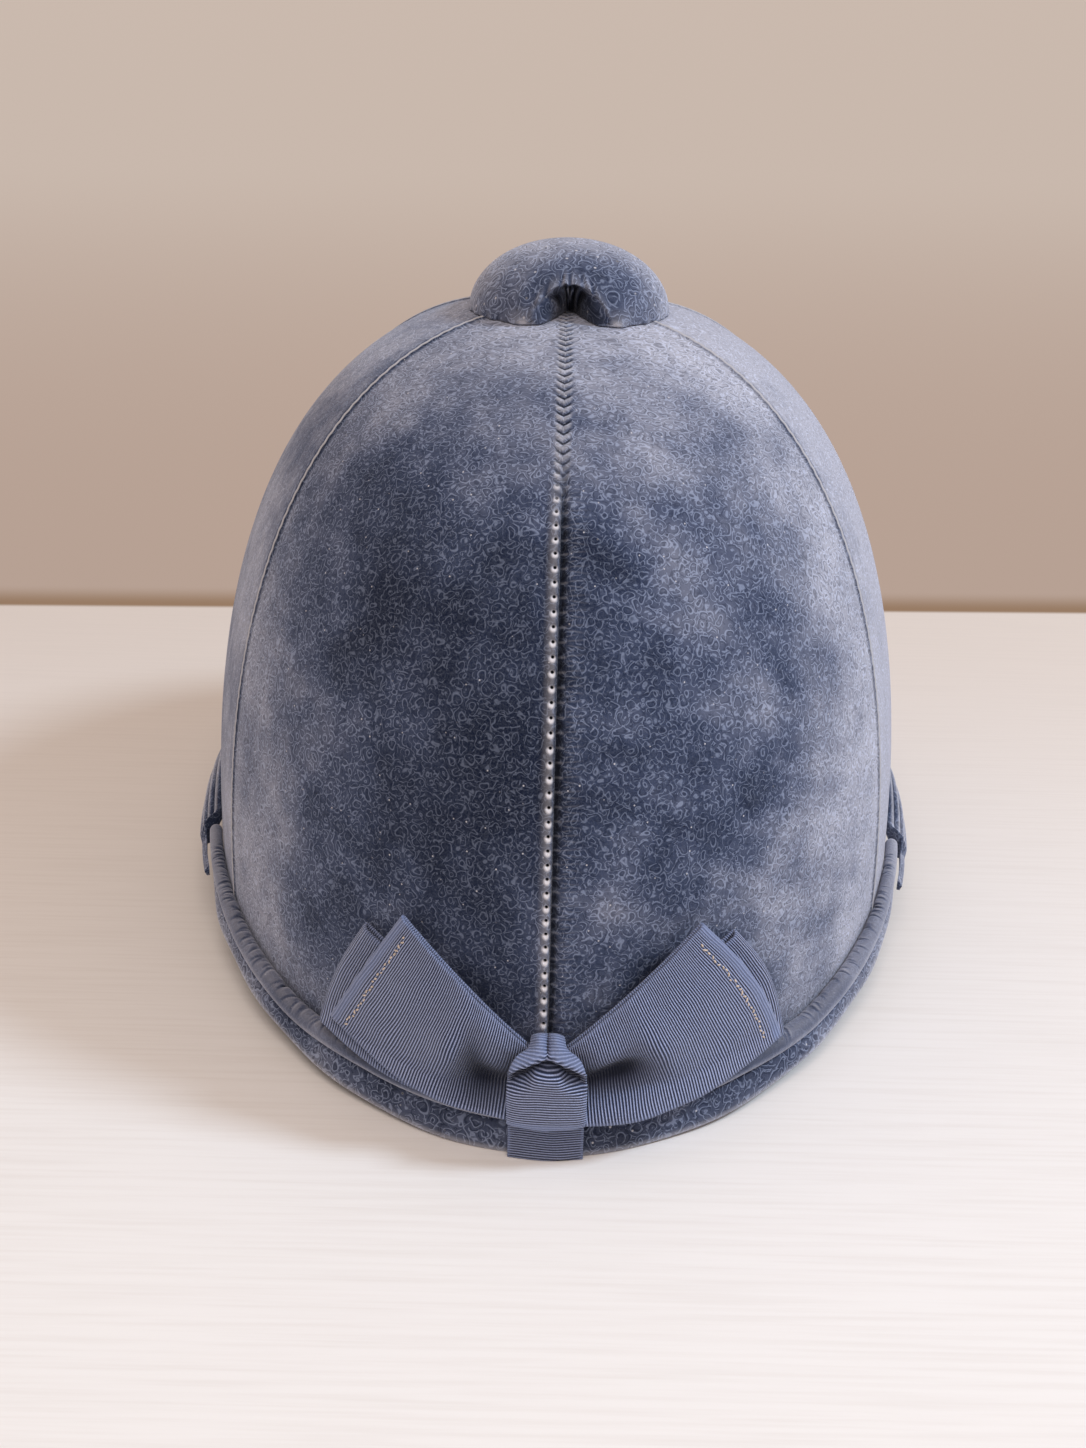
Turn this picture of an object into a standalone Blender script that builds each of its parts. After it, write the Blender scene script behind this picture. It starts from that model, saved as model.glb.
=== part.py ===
"""Riding hunt cap: a velvet crown of six gores with a button, piping, brim, peak and ribbon bow.

Metres, +Z up. The cap stands on z = 0 on its back brim and the front edge of its peak.
The peak points to +Y and the bow to -Y. Azimuths are measured from the back, positive to +X.
"""
import math

import bmesh
import bpy
from mathutils import Vector

MM = 0.001
TINY = 0.01 * MM
SHARP_ANGLE = 50.0

# Crown: a dome with a rounded egg-shaped plan
CROWN_Y = -19.96 * MM
CROWN_HALF_WIDTH = 98.0 * MM
CROWN_BACK_REACH = 126.5 * MM
CROWN_FRONT_REACH = 125.3 * MM
CROWN_HEIGHT = 171.2 * MM
PLAN_POWER = 1.87
DOME_HEIGHT_POWER = 2.677
DOME_WIDTH_POWER = 2.497
CROWN_WALL = 3.0 * MM
CROWN_HEM = 7.5 * MM
SEAM_GAP = 1.2 * MM
VENT_SCALE = 0.045
GORE_COLUMNS = 8
GORE_ROWS = 13

# Seams between the gores, in degrees round from the back
GORES = (
    # node, seam at its left, seam at its right
    ("gore_back_left", -58.0, -0.5),
    ("gore_back_right", -0.5, 58.0),
    ("gore_side_right", 58.0, 120.0),
    ("gore_front_right", 120.0, 180.0),
    ("gore_front_left", 180.0, 240.0),
    ("gore_side_left", 240.0, 302.0),
)

# Rim: the line where the crown meets the piping
RIM_BACK_HEIGHT = 10.0 * MM
RIM_SIDE_HEIGHT = 26.0 * MM
PIECE_GAP = 0.3 * MM

# Button: a padded round hood with a mouth towards the back
BUTTON_X = 0.7 * MM
BUTTON_RADIUS = 26.0 * MM
BUTTON_HEIGHT = 15.0 * MM
BUTTON_FULLNESS = 0.92
BUTTON_SEGMENTS = 28
BUTTON_RINGS = 14
MOUTH_WIDTH = 14.8 * MM
MOUTH_HEIGHT = 10.5 * MM
MOUTH_DEPTH = 13.0 * MM
MOUTH_SEGMENTS = 20
MOUTH_RINGS = 10

# Piping
PIPING_RADIUS = 2.5 * MM
PIPING_END_RADIUS = 1.8 * MM
PIPING_SLIM_FROM = 42.0
PIPING_END = 78.5
PIPING_POINTS = 61
PIPING_BELOW_RIM = 1.6 * MM
PIPING_TIP = 0.55

# Back brim
BRIM_END = 75.0
BRIM_TAPER_FROM = 58.0
BRIM_END_OUT = 3.3 * MM
BRIM_END_DROP = 5.6 * MM
BRIM_END_THICKNESS = 1.6 * MM
BRIM_STATIONS = 57
BRIM_THICKNESS = 2.8 * MM
BRIM_TOP_OUT = 3.5 * MM
BRIM_BACK_OUT = 5.65 * MM
BRIM_SIDE_OUT = 3.6 * MM
BRIM_SIDE_DROP = 8.0 * MM
BRIM_BACK_DROP = 10.4 * MM
BRIM_EDGE_ROUND = 0.8 * MM
BRIM_SPREAD = 0.6

# Peak: its ends hang beside the crown and wrap over the ends of the piping and the brim
PEAK_END = 67.5
PEAK_STATIONS = 57
PEAK_ROWS = 12
PEAK_UNDER_ROWS = 6
PEAK_THICKNESS = 4.0 * MM
PEAK_UNDER_LOW = 0.3
PEAK_OVERHANG = 52.0 * MM
PEAK_NARROWING = 1.8
PEAK_DROOP = 1.35
PEAK_ROOT_FRONT = 36.0 * MM
PEAK_ROOT_SIDE = 40.0 * MM
PEAK_ROOT_LEVEL = 92.0
PEAK_EDGE_END = 18.6 * MM
PEAK_EDGE_SUNK = 0.6 * MM
PEAK_EDGE_RISE = 1.6
PEAK_EDGE_THICKNESS = 2.6 * MM
PEAK_FOOT_INSET = 0.9 * MM
PEAK_FOOT_WIDTH = 3.2 * MM
PEAK_END_OVERHANG = 6.0 * MM
PEAK_END_HEIGHT = 21.0 * MM
PEAK_END_EDGE = 1.2 * MM
PEAK_END_INSET = 0.5 * MM
PEAK_WRAP_OUT = 4.65 * MM
PEAK_WRAP_END = 79.0
PEAK_WRAP_RUN = 4.5
PLEATS = 4
PLEAT_DEPTH = 0.8 * MM
PLEAT_END = 112.0

# Bow: ribbon strips laid over the foot of the crown and the piping
RIBBON = 1.0 * MM
BOW_CENTRE = -1.15 * MM
BOW_REST_OUT = 5.7 * MM
BOW_BRIDGE = 9.0 * MM
BOW_CROWN_OUT = 0.4 * MM
LOOP_FLAT_CELLS = 8
LOOP_FOLD_CELLS = 4
LOOP_ROWS = 7

# One row a loop, in millimetres: x and z of each corner of the folded strip, seen from behind
LOOPS = (
    # node, end top, end bottom, root top, root bottom, end bulge, lower and upper lift, puff
    ("bow_loop_back_left", (-43.4, 49.4), (-57.0, 17.5), (-2.6, 26.5), (-2.6, 13.6), 1.0, 0.8, 2.2, 0.0),
    ("bow_loop_back_right", (41.1, 50.6), (56.0, 18.5), (0.3, 26.5), (0.3, 13.6), 2.0, 0.8, 2.2, 0.0),
    ("bow_loop_front_left", (-34.0, 57.0), (-49.6, 20.2), (-2.6, 28.5), (-2.6, 14.6), 0.4, 4.1, 5.5, 2.4),
    ("bow_loop_front_right", (32.5, 57.3), (54.3, 18.9), (0.3, 28.5), (0.3, 14.6), 2.0, 4.1, 5.5, 2.4),
)
LOOP_SAG = 3.0
LOOP_FOLD_REACH = 0.015

# Knot: the band round the middle of the bow, followed from behind its top to behind its foot
KNOT_ROWS = 6
KNOT_PROFILE = (
    # height, distance out from the crown, half width, all in millimetres
    (30.4, 1.3, 3.2),
    (32.4, 2.2, 3.4),
    (33.4, 4.2, 3.7),
    (32.8, 6.6, 4.4),
    (30.4, 8.6, 6.2),
    (27.2, 9.9, 8.2),
    (23.0, 10.4, 8.8),
    (18.0, 10.5, 8.9),
    (14.2, 10.4, 8.9),
    (12.3, 9.8, 8.8),
    (11.7, 8.7, 8.7),
)

# Tail tab: the ribbon end that runs from the knot over the brim
TAIL_HALF_WIDTH = 8.8 * MM
TAIL_ROWS = 4
TAIL_PROFILE = (
    # height, distance out from the crown, in millimetres
    (10.6, 6.6),
    (8.0, 6.2),
    (5.0, 6.2),
    (2.5, 6.5),
    (0.3, 6.7),
)

# Cloth colours and finishes
VELVET = (0.165, 0.19, 0.26)
VELVET_ROUGHNESS = 0.85
VELVET_SHEEN = 0.6
RIBBON_BLUE = (0.12, 0.15, 0.235)
RIBBON_ROUGHNESS = 0.7
RIBBON_SHEEN = 0.2


def plan_radius(azimuth):
    """Radius of the crown's plan at full width."""
    side = abs(math.sin(azimuth)) / CROWN_HALF_WIDTH
    along = math.cos(azimuth)
    reach = CROWN_BACK_REACH if along > 0 else CROWN_FRONT_REACH
    total = side ** PLAN_POWER + (abs(along) / reach) ** PLAN_POWER
    return total ** (-1 / PLAN_POWER)


def dome_scale(height, grow=0.0):
    """Share of its full plan that the crown has at a height."""
    level = min(max(height, 0.0) / (CROWN_HEIGHT + grow), 1.0)
    return (1 - level ** DOME_HEIGHT_POWER) ** (1 / DOME_WIDTH_POWER)


def crown_point(azimuth, height, out=0.0):
    """A point level with the crown's outer surface, moved straight out from it."""
    radius = plan_radius(azimuth) * dome_scale(height) + out
    return Vector((radius * math.sin(azimuth), CROWN_Y - radius * math.cos(azimuth), height))


def crown_top(x, y):
    """Height of the crown's outer surface over a point near its apex."""
    along = y - CROWN_Y
    radius = math.hypot(x, along)
    if radius < TINY:
        return CROWN_HEIGHT
    share = radius / plan_radius(math.atan2(x, -along))
    return CROWN_HEIGHT * (1 - share ** DOME_WIDTH_POWER) ** (1 / DOME_HEIGHT_POWER)


def rim_height(azimuth):
    """Height of the line where the crown meets the piping."""
    if math.cos(azimuth) < 0:
        return RIM_SIDE_HEIGHT
    return RIM_BACK_HEIGHT + (RIM_SIDE_HEIGHT - RIM_BACK_HEIGHT) * math.sin(azimuth) ** 2


def back_point(x, z, out):
    """A point over the crown's back, given its x and z and its distance out from the crown."""
    share = dome_scale(z, out) ** PLAN_POWER - (abs(x) / (CROWN_HALF_WIDTH + out)) ** PLAN_POWER
    reach = (CROWN_BACK_REACH + out) * max(share, 0.0) ** (1 / PLAN_POWER)
    return Vector((x, CROWN_Y - reach, z))


def bow_rest(x, z):
    """How far out a ribbon lies: on the crown above, bridging to the piping below."""
    foot = back_point(x, z, 0.0)
    above = z - rim_height(math.atan2(x, CROWN_Y - foot.y))
    bridge = min(max(1 - above / BOW_BRIDGE, 0.0), 1.0)
    return blend(BOW_CROWN_OUT, BOW_REST_OUT, bridge)


def blend(start, end, share):
    """Value part of the way from start to end."""
    return start + (end - start) * share


def ramp(azimuth, start, end):
    """Smooth step from 0 to 1 between two azimuths given in degrees."""
    share = (math.degrees(azimuth) - start) / (end - start)
    share = min(max(share, 0.0), 1.0)
    return share * share * (3 - 2 * share)


def clear_scene():
    """Remove what the scene holds."""
    for item in list(bpy.data.objects):
        bpy.data.objects.remove(item, do_unlink=True)


def new_collection(name):
    """A new collection in the scene."""
    group = bpy.data.collections.new(name)
    bpy.context.scene.collection.children.link(group)
    return group


def make_material(name, colour, roughness, sheen):
    """A cloth material."""
    material = bpy.data.materials.new(name)
    material.use_nodes = True
    shader = material.node_tree.nodes["Principled BSDF"]
    shader.inputs["Base Color"].default_value = (*colour, 1.0)
    shader.inputs["Roughness"].default_value = roughness
    shader.inputs["Metallic"].default_value = 0.0
    shader.inputs["Sheen Weight"].default_value = sheen
    return material


def velvet(name):
    """Blue-grey velvet."""
    return make_material(name + "_velvet", VELVET, VELVET_ROUGHNESS, VELVET_SHEEN)


def ribbon(name):
    """Ribbed ribbon."""
    return make_material(name + "_ribbon", RIBBON_BLUE, RIBBON_ROUGHNESS, RIBBON_SHEEN)


def add_object(name, mesh, group, material):
    """Put a mesh in the collection as a named, smooth object."""
    item = bpy.data.objects.new(name, mesh)
    group.objects.link(item)
    mesh.materials.append(material)
    mesh.shade_smooth()
    return item


def grid_sheet(name, columns, rows, place, group, material):
    """An open sheet whose corner shares, across and up, are put in space by place()."""
    sheet = bmesh.new()
    bmesh.ops.create_grid(sheet, x_segments=columns, y_segments=rows, size=1.0)
    for vertex in sheet.verts:
        vertex.co = place((vertex.co.x + 1) / 2, (vertex.co.y + 1) / 2)
    mesh = bpy.data.meshes.new(name)
    sheet.to_mesh(mesh)
    sheet.free()
    return add_object(name, mesh, group, material)


def thicken(item, thickness, offset):
    """Give a sheet its thickness."""
    wall = item.modifiers.new("wall", "SOLIDIFY")
    wall.thickness = thickness
    wall.offset = offset
    wall.use_even_offset = True


def loft(name, sections, group, material):
    """A closed body through a row of closed sections with equal point counts."""
    body = bmesh.new()
    rings = [[body.verts.new(point) for point in section] for section in sections]
    for ring, following in zip(rings, rings[1:]):
        for index in range(len(ring)):
            after = (index + 1) % len(ring)
            body.faces.new((ring[index], ring[after], following[after], following[index]))
    body.faces.new(rings[0])
    body.faces.new(rings[-1])
    bmesh.ops.recalc_face_normals(body, faces=body.faces[:])
    mesh = bpy.data.meshes.new(name)
    body.to_mesh(mesh)
    body.free()
    item = add_object(name, mesh, group, material)
    mesh.set_sharp_from_angle(angle=math.radians(SHARP_ANGLE))
    return item


def spaced(count, end):
    """Evenly spaced azimuths from minus end to plus end, in radians from degrees."""
    return [math.radians(-end + 2 * end * index / (count - 1)) for index in range(count)]


def make_gore(name, left, right, group):
    """One panel of the crown, from the hem behind the brim to the vent at the top."""
    seam_left = math.radians(left)
    seam_right = math.radians(right)
    top_angle = math.acos(VENT_SCALE ** (DOME_WIDTH_POWER / 2))

    def place(across, up):
        azimuth = blend(seam_left, seam_right, across)
        hem = rim_height(azimuth) - CROWN_HEM
        hem_angle = math.asin((hem / CROWN_HEIGHT) ** (DOME_HEIGHT_POWER / 2))
        angle = blend(hem_angle, top_angle, up)
        height = CROWN_HEIGHT * math.sin(angle) ** (2 / DOME_HEIGHT_POWER)
        radius = plan_radius(azimuth) * dome_scale(height)
        azimuth += SEAM_GAP / radius * (0.5 - across)
        return crown_point(azimuth, height)

    gore = grid_sheet(name, GORE_COLUMNS, GORE_ROWS, place, group, velvet(name))
    thicken(gore, CROWN_WALL, -1.0)


def make_mouth_cutter(group):
    """The rounded pocket that opens the button towards the back."""
    bpy.ops.mesh.primitive_uv_sphere_add(
        segments=MOUTH_SEGMENTS, ring_count=MOUTH_RINGS, radius=1.0
    )
    cutter = bpy.context.object
    cutter.name = "mouth_cutter"
    for owner in list(cutter.users_collection):
        owner.objects.unlink(cutter)
    group.objects.link(cutter)
    for vertex in cutter.data.vertices:
        vertex.co.x *= MOUTH_WIDTH / 2
        vertex.co.y *= MOUTH_DEPTH
        vertex.co.z *= MOUTH_HEIGHT
    cutter.location = (BUTTON_X, CROWN_Y - BUTTON_RADIUS, CROWN_HEIGHT - PIECE_GAP)
    cutter.hide_render = True
    cutter.display_type = "WIRE"
    return cutter


def make_button(group, cutters):
    """The padded hood, its underside following the crown."""
    bpy.ops.mesh.primitive_uv_sphere_add(
        segments=BUTTON_SEGMENTS, ring_count=BUTTON_RINGS, radius=1.0
    )
    button = bpy.context.object
    button.name = "button"
    for owner in list(button.users_collection):
        owner.objects.unlink(button)
    group.objects.link(button)
    for vertex in button.data.vertices:
        x = BUTTON_X + vertex.co.x * BUTTON_RADIUS
        y = CROWN_Y + vertex.co.y * BUTTON_RADIUS
        rise = BUTTON_HEIGHT * max(vertex.co.z, 0.0) ** BUTTON_FULLNESS
        vertex.co = (x, y, crown_top(x, y) + PIECE_GAP + rise)
    button.data.materials.append(velvet("button"))
    button.data.shade_smooth()
    mouth = button.modifiers.new("mouth", "BOOLEAN")
    mouth.operation = "DIFFERENCE"
    mouth.object = make_mouth_cutter(cutters)


def make_piping(group):
    """The covered cord along the foot of the crown, with rounded ends."""
    outline = bpy.data.curves.new("piping", "CURVE")
    outline.dimensions = "3D"
    outline.bevel_depth = PIPING_RADIUS
    outline.bevel_resolution = 2
    outline.use_fill_caps = True
    line = outline.splines.new("POLY")
    azimuths = spaced(PIPING_POINTS, PIPING_END)
    line.points.add(len(azimuths) - 1)
    for point, azimuth in zip(line.points, azimuths):
        slim = ramp(abs(azimuth), PIPING_SLIM_FROM, PIPING_END)
        radius = blend(PIPING_RADIUS, PIPING_END_RADIUS, slim)
        height = rim_height(azimuth) - PIPING_BELOW_RIM
        point.co = (*crown_point(azimuth, height, radius + PIECE_GAP), 1.0)
        point.radius = radius / PIPING_RADIUS
    for tip in (line.points[0], line.points[-1]):
        tip.radius *= PIPING_TIP
    piping = bpy.data.objects.new("piping", outline)
    group.objects.link(piping)
    outline.materials.append(velvet("piping"))


def brim_section(azimuth):
    """Section of the brim, a rounded strip that leans out a little and tapers to its ends."""
    rim = rim_height(azimuth)
    back = max(math.cos(azimuth), 0.0) ** BRIM_SPREAD
    taper = ramp(abs(azimuth), BRIM_TAPER_FROM, BRIM_END)
    edge_out = blend(blend(BRIM_SIDE_OUT, BRIM_BACK_OUT, back), BRIM_END_OUT, taper)
    drop = blend(blend(BRIM_SIDE_DROP, BRIM_BACK_DROP, back), BRIM_END_DROP, taper)
    thickness = blend(BRIM_THICKNESS, BRIM_END_THICKNESS, taper)
    top_out = blend(BRIM_TOP_OUT, BRIM_END_OUT, taper)
    edge = rim - drop
    top = rim - PIPING_BELOW_RIM - PIPING_RADIUS - PIECE_GAP
    corner = min(BRIM_EDGE_ROUND, (top - edge) / 2)
    outline = (
        (top_out, top),
        (edge_out, edge + corner),
        (edge_out - corner, edge),
        (edge_out - thickness + corner / 2, edge),
        (edge_out - thickness, edge + corner),
        (top_out - thickness, top),
    )
    return [crown_point(azimuth, max(height, 0.0), out) for out, height in outline]


def make_brim(group):
    """The narrow brim round the back and sides."""
    sections = [brim_section(azimuth) for azimuth in spaced(BRIM_STATIONS, BRIM_END)]
    loft("back_brim", sections, group, velvet("back_brim"))


def peak_line(share, fullness, start, reach, root, edge):
    """A point along a line of the peak's section: straight at the front, hanging at the ends."""
    hang = (1 - fullness) ** 2
    along = blend(share, math.sin(share * math.pi / 2), hang)
    fall = blend(share ** PEAK_DROOP, share, hang)
    return blend(start, reach, along), blend(root, edge, fall)


def peak_section(turn):
    """Section of the peak at a share of its half span, from -1 to 1."""
    azimuth = math.pi + turn * (math.pi - math.radians(PEAK_END))
    fullness = max(-math.cos(azimuth), 0.0) ** PEAK_NARROWING
    from_back = math.pi - abs(azimuth - math.pi)
    wrap = 1 - ramp(from_back, PEAK_WRAP_END, PEAK_WRAP_END + PEAK_WRAP_RUN)
    climb = ramp(from_back, PEAK_END, PEAK_ROOT_LEVEL)
    start = blend(PIECE_GAP, PEAK_WRAP_OUT, wrap)
    tip = blend(PEAK_END_OVERHANG, PEAK_OVERHANG, fullness)
    root = blend(blend(PEAK_END_HEIGHT, PEAK_ROOT_SIDE, climb), PEAK_ROOT_FRONT, fullness)
    foot = max(PEAK_EDGE_END * (1 - fullness) ** PEAK_EDGE_RISE - PEAK_EDGE_SUNK, 0.0)
    edge = foot + blend(PEAK_END_EDGE, PEAK_EDGE_THICKNESS, climb)
    tuck = PLEAT_DEPTH * (1 - ramp(from_back, PEAK_WRAP_END, PLEAT_END)) * climb
    upper = []
    for row in range(PEAK_ROWS + 1):
        share = row / PEAK_ROWS
        out, height = peak_line(share, fullness, start, tip, root, edge)
        upper.append((out + tuck * (1 - math.cos(2 * math.pi * PLEATS * share)) / 2, height))
    foot_out = tip - blend(PEAK_END_INSET, PEAK_FOOT_INSET, fullness)
    foot_in = max(foot_out - PEAK_FOOT_WIDTH, start)
    under = max(root - PEAK_THICKNESS, blend(foot, root, PEAK_UNDER_LOW))
    lower = [
        peak_line(row / PEAK_UNDER_ROWS, fullness, start, foot_in, under, foot)
        for row in range(PEAK_UNDER_ROWS, -1, -1)
    ]
    return [crown_point(azimuth, height, out) for out, height in upper + [(foot_out, foot)] + lower]


def make_peak(group):
    """The stiff visor, whose ends hang beside the crown in pleats."""
    turns = [2 * index / (PEAK_STATIONS - 1) - 1 for index in range(PEAK_STATIONS)]
    loft("peak", [peak_section(turn) for turn in turns], group, velvet("peak"))


def loop_path(share):
    """Follow a folded strip: its reach from root to end, and 1 on its upper side, 0 on its lower."""
    cells = 2 * LOOP_FLAT_CELLS + LOOP_FOLD_CELLS
    step = share * cells
    if step <= LOOP_FLAT_CELLS:
        return step / LOOP_FLAT_CELLS, 1.0
    if step >= LOOP_FLAT_CELLS + LOOP_FOLD_CELLS:
        return (cells - step) / LOOP_FLAT_CELLS, 0.0
    turn = (step - LOOP_FLAT_CELLS) / LOOP_FOLD_CELLS * math.pi
    return 1 + LOOP_FOLD_REACH * math.sin(turn), (1 + math.cos(turn)) / 2


def make_loop(row, group):
    """One loop of the bow: a strip that runs out from the knot and folds back under itself."""
    name, end_top, end_bottom, root_top, root_bottom, bulge, low, high, puff = row
    side = math.copysign(1.0, end_top[0])

    def place(along, across):
        reach, layer = loop_path(along)
        arch = math.sin(math.pi * min(reach, 1.0))
        bow_out = side * bulge * math.sin(math.pi * across)
        end_x = blend(end_bottom[0], end_top[0], across) + bow_out
        end_z = blend(end_bottom[1], end_top[1], across) + abs(bow_out) / 2
        root_x = blend(root_bottom[0], root_top[0], across)
        root_z = blend(root_bottom[1], root_top[1], across)
        x = blend(root_x, end_x, reach) * MM
        z = (blend(root_z, end_z, reach) - LOOP_SAG * arch * (1 - across)) * MM
        lift = blend(low, high + puff * arch * math.sin(math.pi * across), layer)
        return back_point(x, z, bow_rest(x, z) + lift * MM)

    columns = 2 * LOOP_FLAT_CELLS + LOOP_FOLD_CELLS
    loop = grid_sheet(name, columns, LOOP_ROWS, place, group, ribbon(name))
    thicken(loop, RIBBON, 0.0)


def profile_at(profile, share):
    """Values part of the way down a profile."""
    step = share * (len(profile) - 1)
    index = min(int(step), len(profile) - 2)
    return [blend(a, b, step - index) for a, b in zip(profile[index], profile[index + 1])]


def make_knot(group):
    """The gathered band round the middle of the bow."""

    def place(down, across):
        height, out, half = profile_at(KNOT_PROFILE, down)
        x = BOW_CENTRE + (across * 2 - 1) * half * MM
        return back_point(x, height * MM, out * MM)

    knot = grid_sheet("bow_knot", len(KNOT_PROFILE) - 1, KNOT_ROWS, place, group, ribbon("bow_knot"))
    thicken(knot, RIBBON, 0.0)


def make_tail(group):
    """The flat ribbon end below the knot."""

    def place(down, across):
        height, out = profile_at(TAIL_PROFILE, down)
        x = BOW_CENTRE + (across * 2 - 1) * TAIL_HALF_WIDTH
        return back_point(x, height * MM, out * MM)

    tail = grid_sheet("tail_tab", len(TAIL_PROFILE) - 1, TAIL_ROWS, place, group, ribbon("tail_tab"))
    thicken(tail, RIBBON, 0.0)


def main():
    """Build the cap."""
    clear_scene()
    cap = new_collection("riding_hunt_cap")
    cutters = new_collection("cutters")
    for name, left, right in GORES:
        make_gore(name, left, right, cap)
    make_button(cap, cutters)
    make_piping(cap)
    make_brim(cap)
    make_peak(cap)
    for row in LOOPS:
        make_loop(row, cap)
    make_knot(cap)
    make_tail(cap)


main()
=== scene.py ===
import math
from functools import partialmethod

import bpy
import numpy as np
from mathutils import Matrix, Vector


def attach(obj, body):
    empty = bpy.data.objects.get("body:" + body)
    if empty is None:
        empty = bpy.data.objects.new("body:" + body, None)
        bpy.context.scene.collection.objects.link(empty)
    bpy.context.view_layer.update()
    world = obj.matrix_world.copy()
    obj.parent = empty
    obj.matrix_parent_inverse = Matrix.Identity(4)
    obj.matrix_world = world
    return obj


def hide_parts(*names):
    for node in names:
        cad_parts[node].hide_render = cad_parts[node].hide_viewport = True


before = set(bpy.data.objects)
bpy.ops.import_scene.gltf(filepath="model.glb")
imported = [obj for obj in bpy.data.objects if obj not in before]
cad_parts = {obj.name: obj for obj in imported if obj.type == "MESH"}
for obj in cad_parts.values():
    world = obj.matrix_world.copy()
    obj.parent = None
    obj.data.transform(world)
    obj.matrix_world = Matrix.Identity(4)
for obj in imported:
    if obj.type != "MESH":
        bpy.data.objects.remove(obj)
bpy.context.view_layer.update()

MM = 0.001
TURN = 2 * math.pi

# forms shared with the part's source, in metres
CROWN_Y = -19.96 * MM
CROWN_HALF_WIDTH = 98.0 * MM
CROWN_BACK_REACH = 126.5 * MM
CROWN_FRONT_REACH = 125.3 * MM
CROWN_HEIGHT = 171.2 * MM
PLAN_POWER = 1.87
DOME_HEIGHT_POWER = 2.677
DOME_WIDTH_POWER = 2.497
CROWN_WALL = 3.0 * MM
CROWN_HEM = 7.5 * MM
VENT_SCALE = 0.045
RIM_BACK_HEIGHT = 10.0 * MM
RIM_SIDE_HEIGHT = 26.0 * MM
PIECE_GAP = 0.3 * MM

# camera, as the photograph was taken
CAMERA_PLACE = (-0.0037935, -0.4428382, 0.2577762)
CAMERA_DOWN = 0.4610383
CAMERA_ROLL = 0.0214172
FOCAL_PIXELS = 1600.0
PHOTO_HEIGHT = 1448
SENSOR_WIDTH = 36.0


def blend(start, end, share):
    return start + (end - start) * share


def smooth(value, low, high):
    share = np.clip((value - low) / (high - low), 0.0, 1.0)
    return share * share * (3 - 2 * share)


def bump(value, middle, width):
    return np.exp(-(((value - middle) / width) ** 2))


def plan_radius(azimuth):
    side = np.abs(np.sin(azimuth)) / CROWN_HALF_WIDTH
    along = np.cos(azimuth)
    reach = np.where(along > 0, CROWN_BACK_REACH, CROWN_FRONT_REACH)
    return (side ** PLAN_POWER + (np.abs(along) / reach) ** PLAN_POWER) ** (-1 / PLAN_POWER)


def dome_scale(height, grow=0.0):
    level = np.clip(np.maximum(height, 0.0) / (CROWN_HEIGHT + grow), 0.0, 1.0)
    return (1 - level ** DOME_HEIGHT_POWER) ** (1 / DOME_WIDTH_POWER)


def crown_point(azimuth, height, out=0.0):
    radius = plan_radius(azimuth) * dome_scale(height) + out
    height = height + 0 * radius
    return np.stack((radius * np.sin(azimuth), CROWN_Y - radius * np.cos(azimuth), height), -1)


def crown_top(x, y):
    along = y - CROWN_Y
    radius = np.hypot(x, along)
    share = np.clip(radius / plan_radius(np.arctan2(x, -along)), 0.0, 1.0)
    return CROWN_HEIGHT * (1 - share ** DOME_WIDTH_POWER) ** (1 / DOME_HEIGHT_POWER)


def rim_height(azimuth):
    rise = (RIM_SIDE_HEIGHT - RIM_BACK_HEIGHT) * np.sin(azimuth) ** 2
    return np.where(np.cos(azimuth) < 0, RIM_SIDE_HEIGHT, RIM_BACK_HEIGHT + rise)


def back_point(x, z, out):
    share = dome_scale(z, out) ** PLAN_POWER - (np.abs(x) / (CROWN_HALF_WIDTH + out)) ** PLAN_POWER
    reach = (CROWN_BACK_REACH + out) * np.maximum(share, 0.0) ** (1 / PLAN_POWER)
    return np.stack((x + 0 * reach, CROWN_Y - reach, z + 0 * reach), -1)


def ramp(azimuth, start, end):
    return smooth(np.degrees(azimuth), start, end)


# mesh tools
def grid_normals(points):
    normals = np.cross(np.gradient(points, axis=0), np.gradient(points, axis=1))
    return normals / np.maximum(np.linalg.norm(normals, axis=-1, keepdims=True), 1e-12)


def keep(item, name, values):
    """Keep one or three numbers a point on a mesh, for its material."""
    kind, key = ("FLOAT", "value") if values.ndim == 2 else ("FLOAT_VECTOR", "vector")
    layer = item.data.attributes.new(name, kind, "POINT")
    layer.data.foreach_set(key, values.reshape(-1).astype(np.float32))


def place(name, data):
    item = bpy.data.objects.new(name, data)
    bpy.context.scene.collection.objects.link(item)
    return item


def place_mesh(name, points, faces, material):
    mesh = bpy.data.meshes.new(name)
    mesh.from_pydata(points, [], faces)
    mesh.materials.append(material)
    return place(name, mesh)


def grid_mesh(name, points, material, shade=None, cloth=None, closed=False, flip=False):
    """A mesh over a grid of points, closed round its rows and capped, or open."""
    rows, columns = points.shape[:2]
    index = np.arange(rows * columns).reshape(rows, columns)
    after = np.roll(index, -1, 1) if closed else index[:, 1:]
    first = index if closed else index[:, :-1]
    faces = np.stack((first[:-1], after[:-1], after[1:], first[1:]), -1).reshape(-1, 4)
    if flip:
        faces = faces[:, ::-1]
    faces = faces.tolist()
    if closed:
        ends = [index[0].tolist(), index[-1].tolist()[::-1]]
        faces += [end if flip else end[::-1] for end in ends]
    item = place_mesh(name, points.reshape(-1, 3).tolist(), faces, material)
    if shade is not None:
        keep(item, "shade", np.clip(np.broadcast_to(shade, (rows, columns)), -1, 1))
    if cloth is not None:
        keep(item, "cloth", np.pad(cloth, ((0, 0), (0, 0), (0, 1))))
    item.data.shade_smooth()
    item.data.update()
    return item


def thicken(item, thickness, offset):
    wall = item.modifiers.new("wall", "SOLIDIFY")
    wall.thickness = thickness
    wall.offset = offset


def finish_piece(item, node):
    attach(item, "root")
    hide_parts(node)


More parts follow.
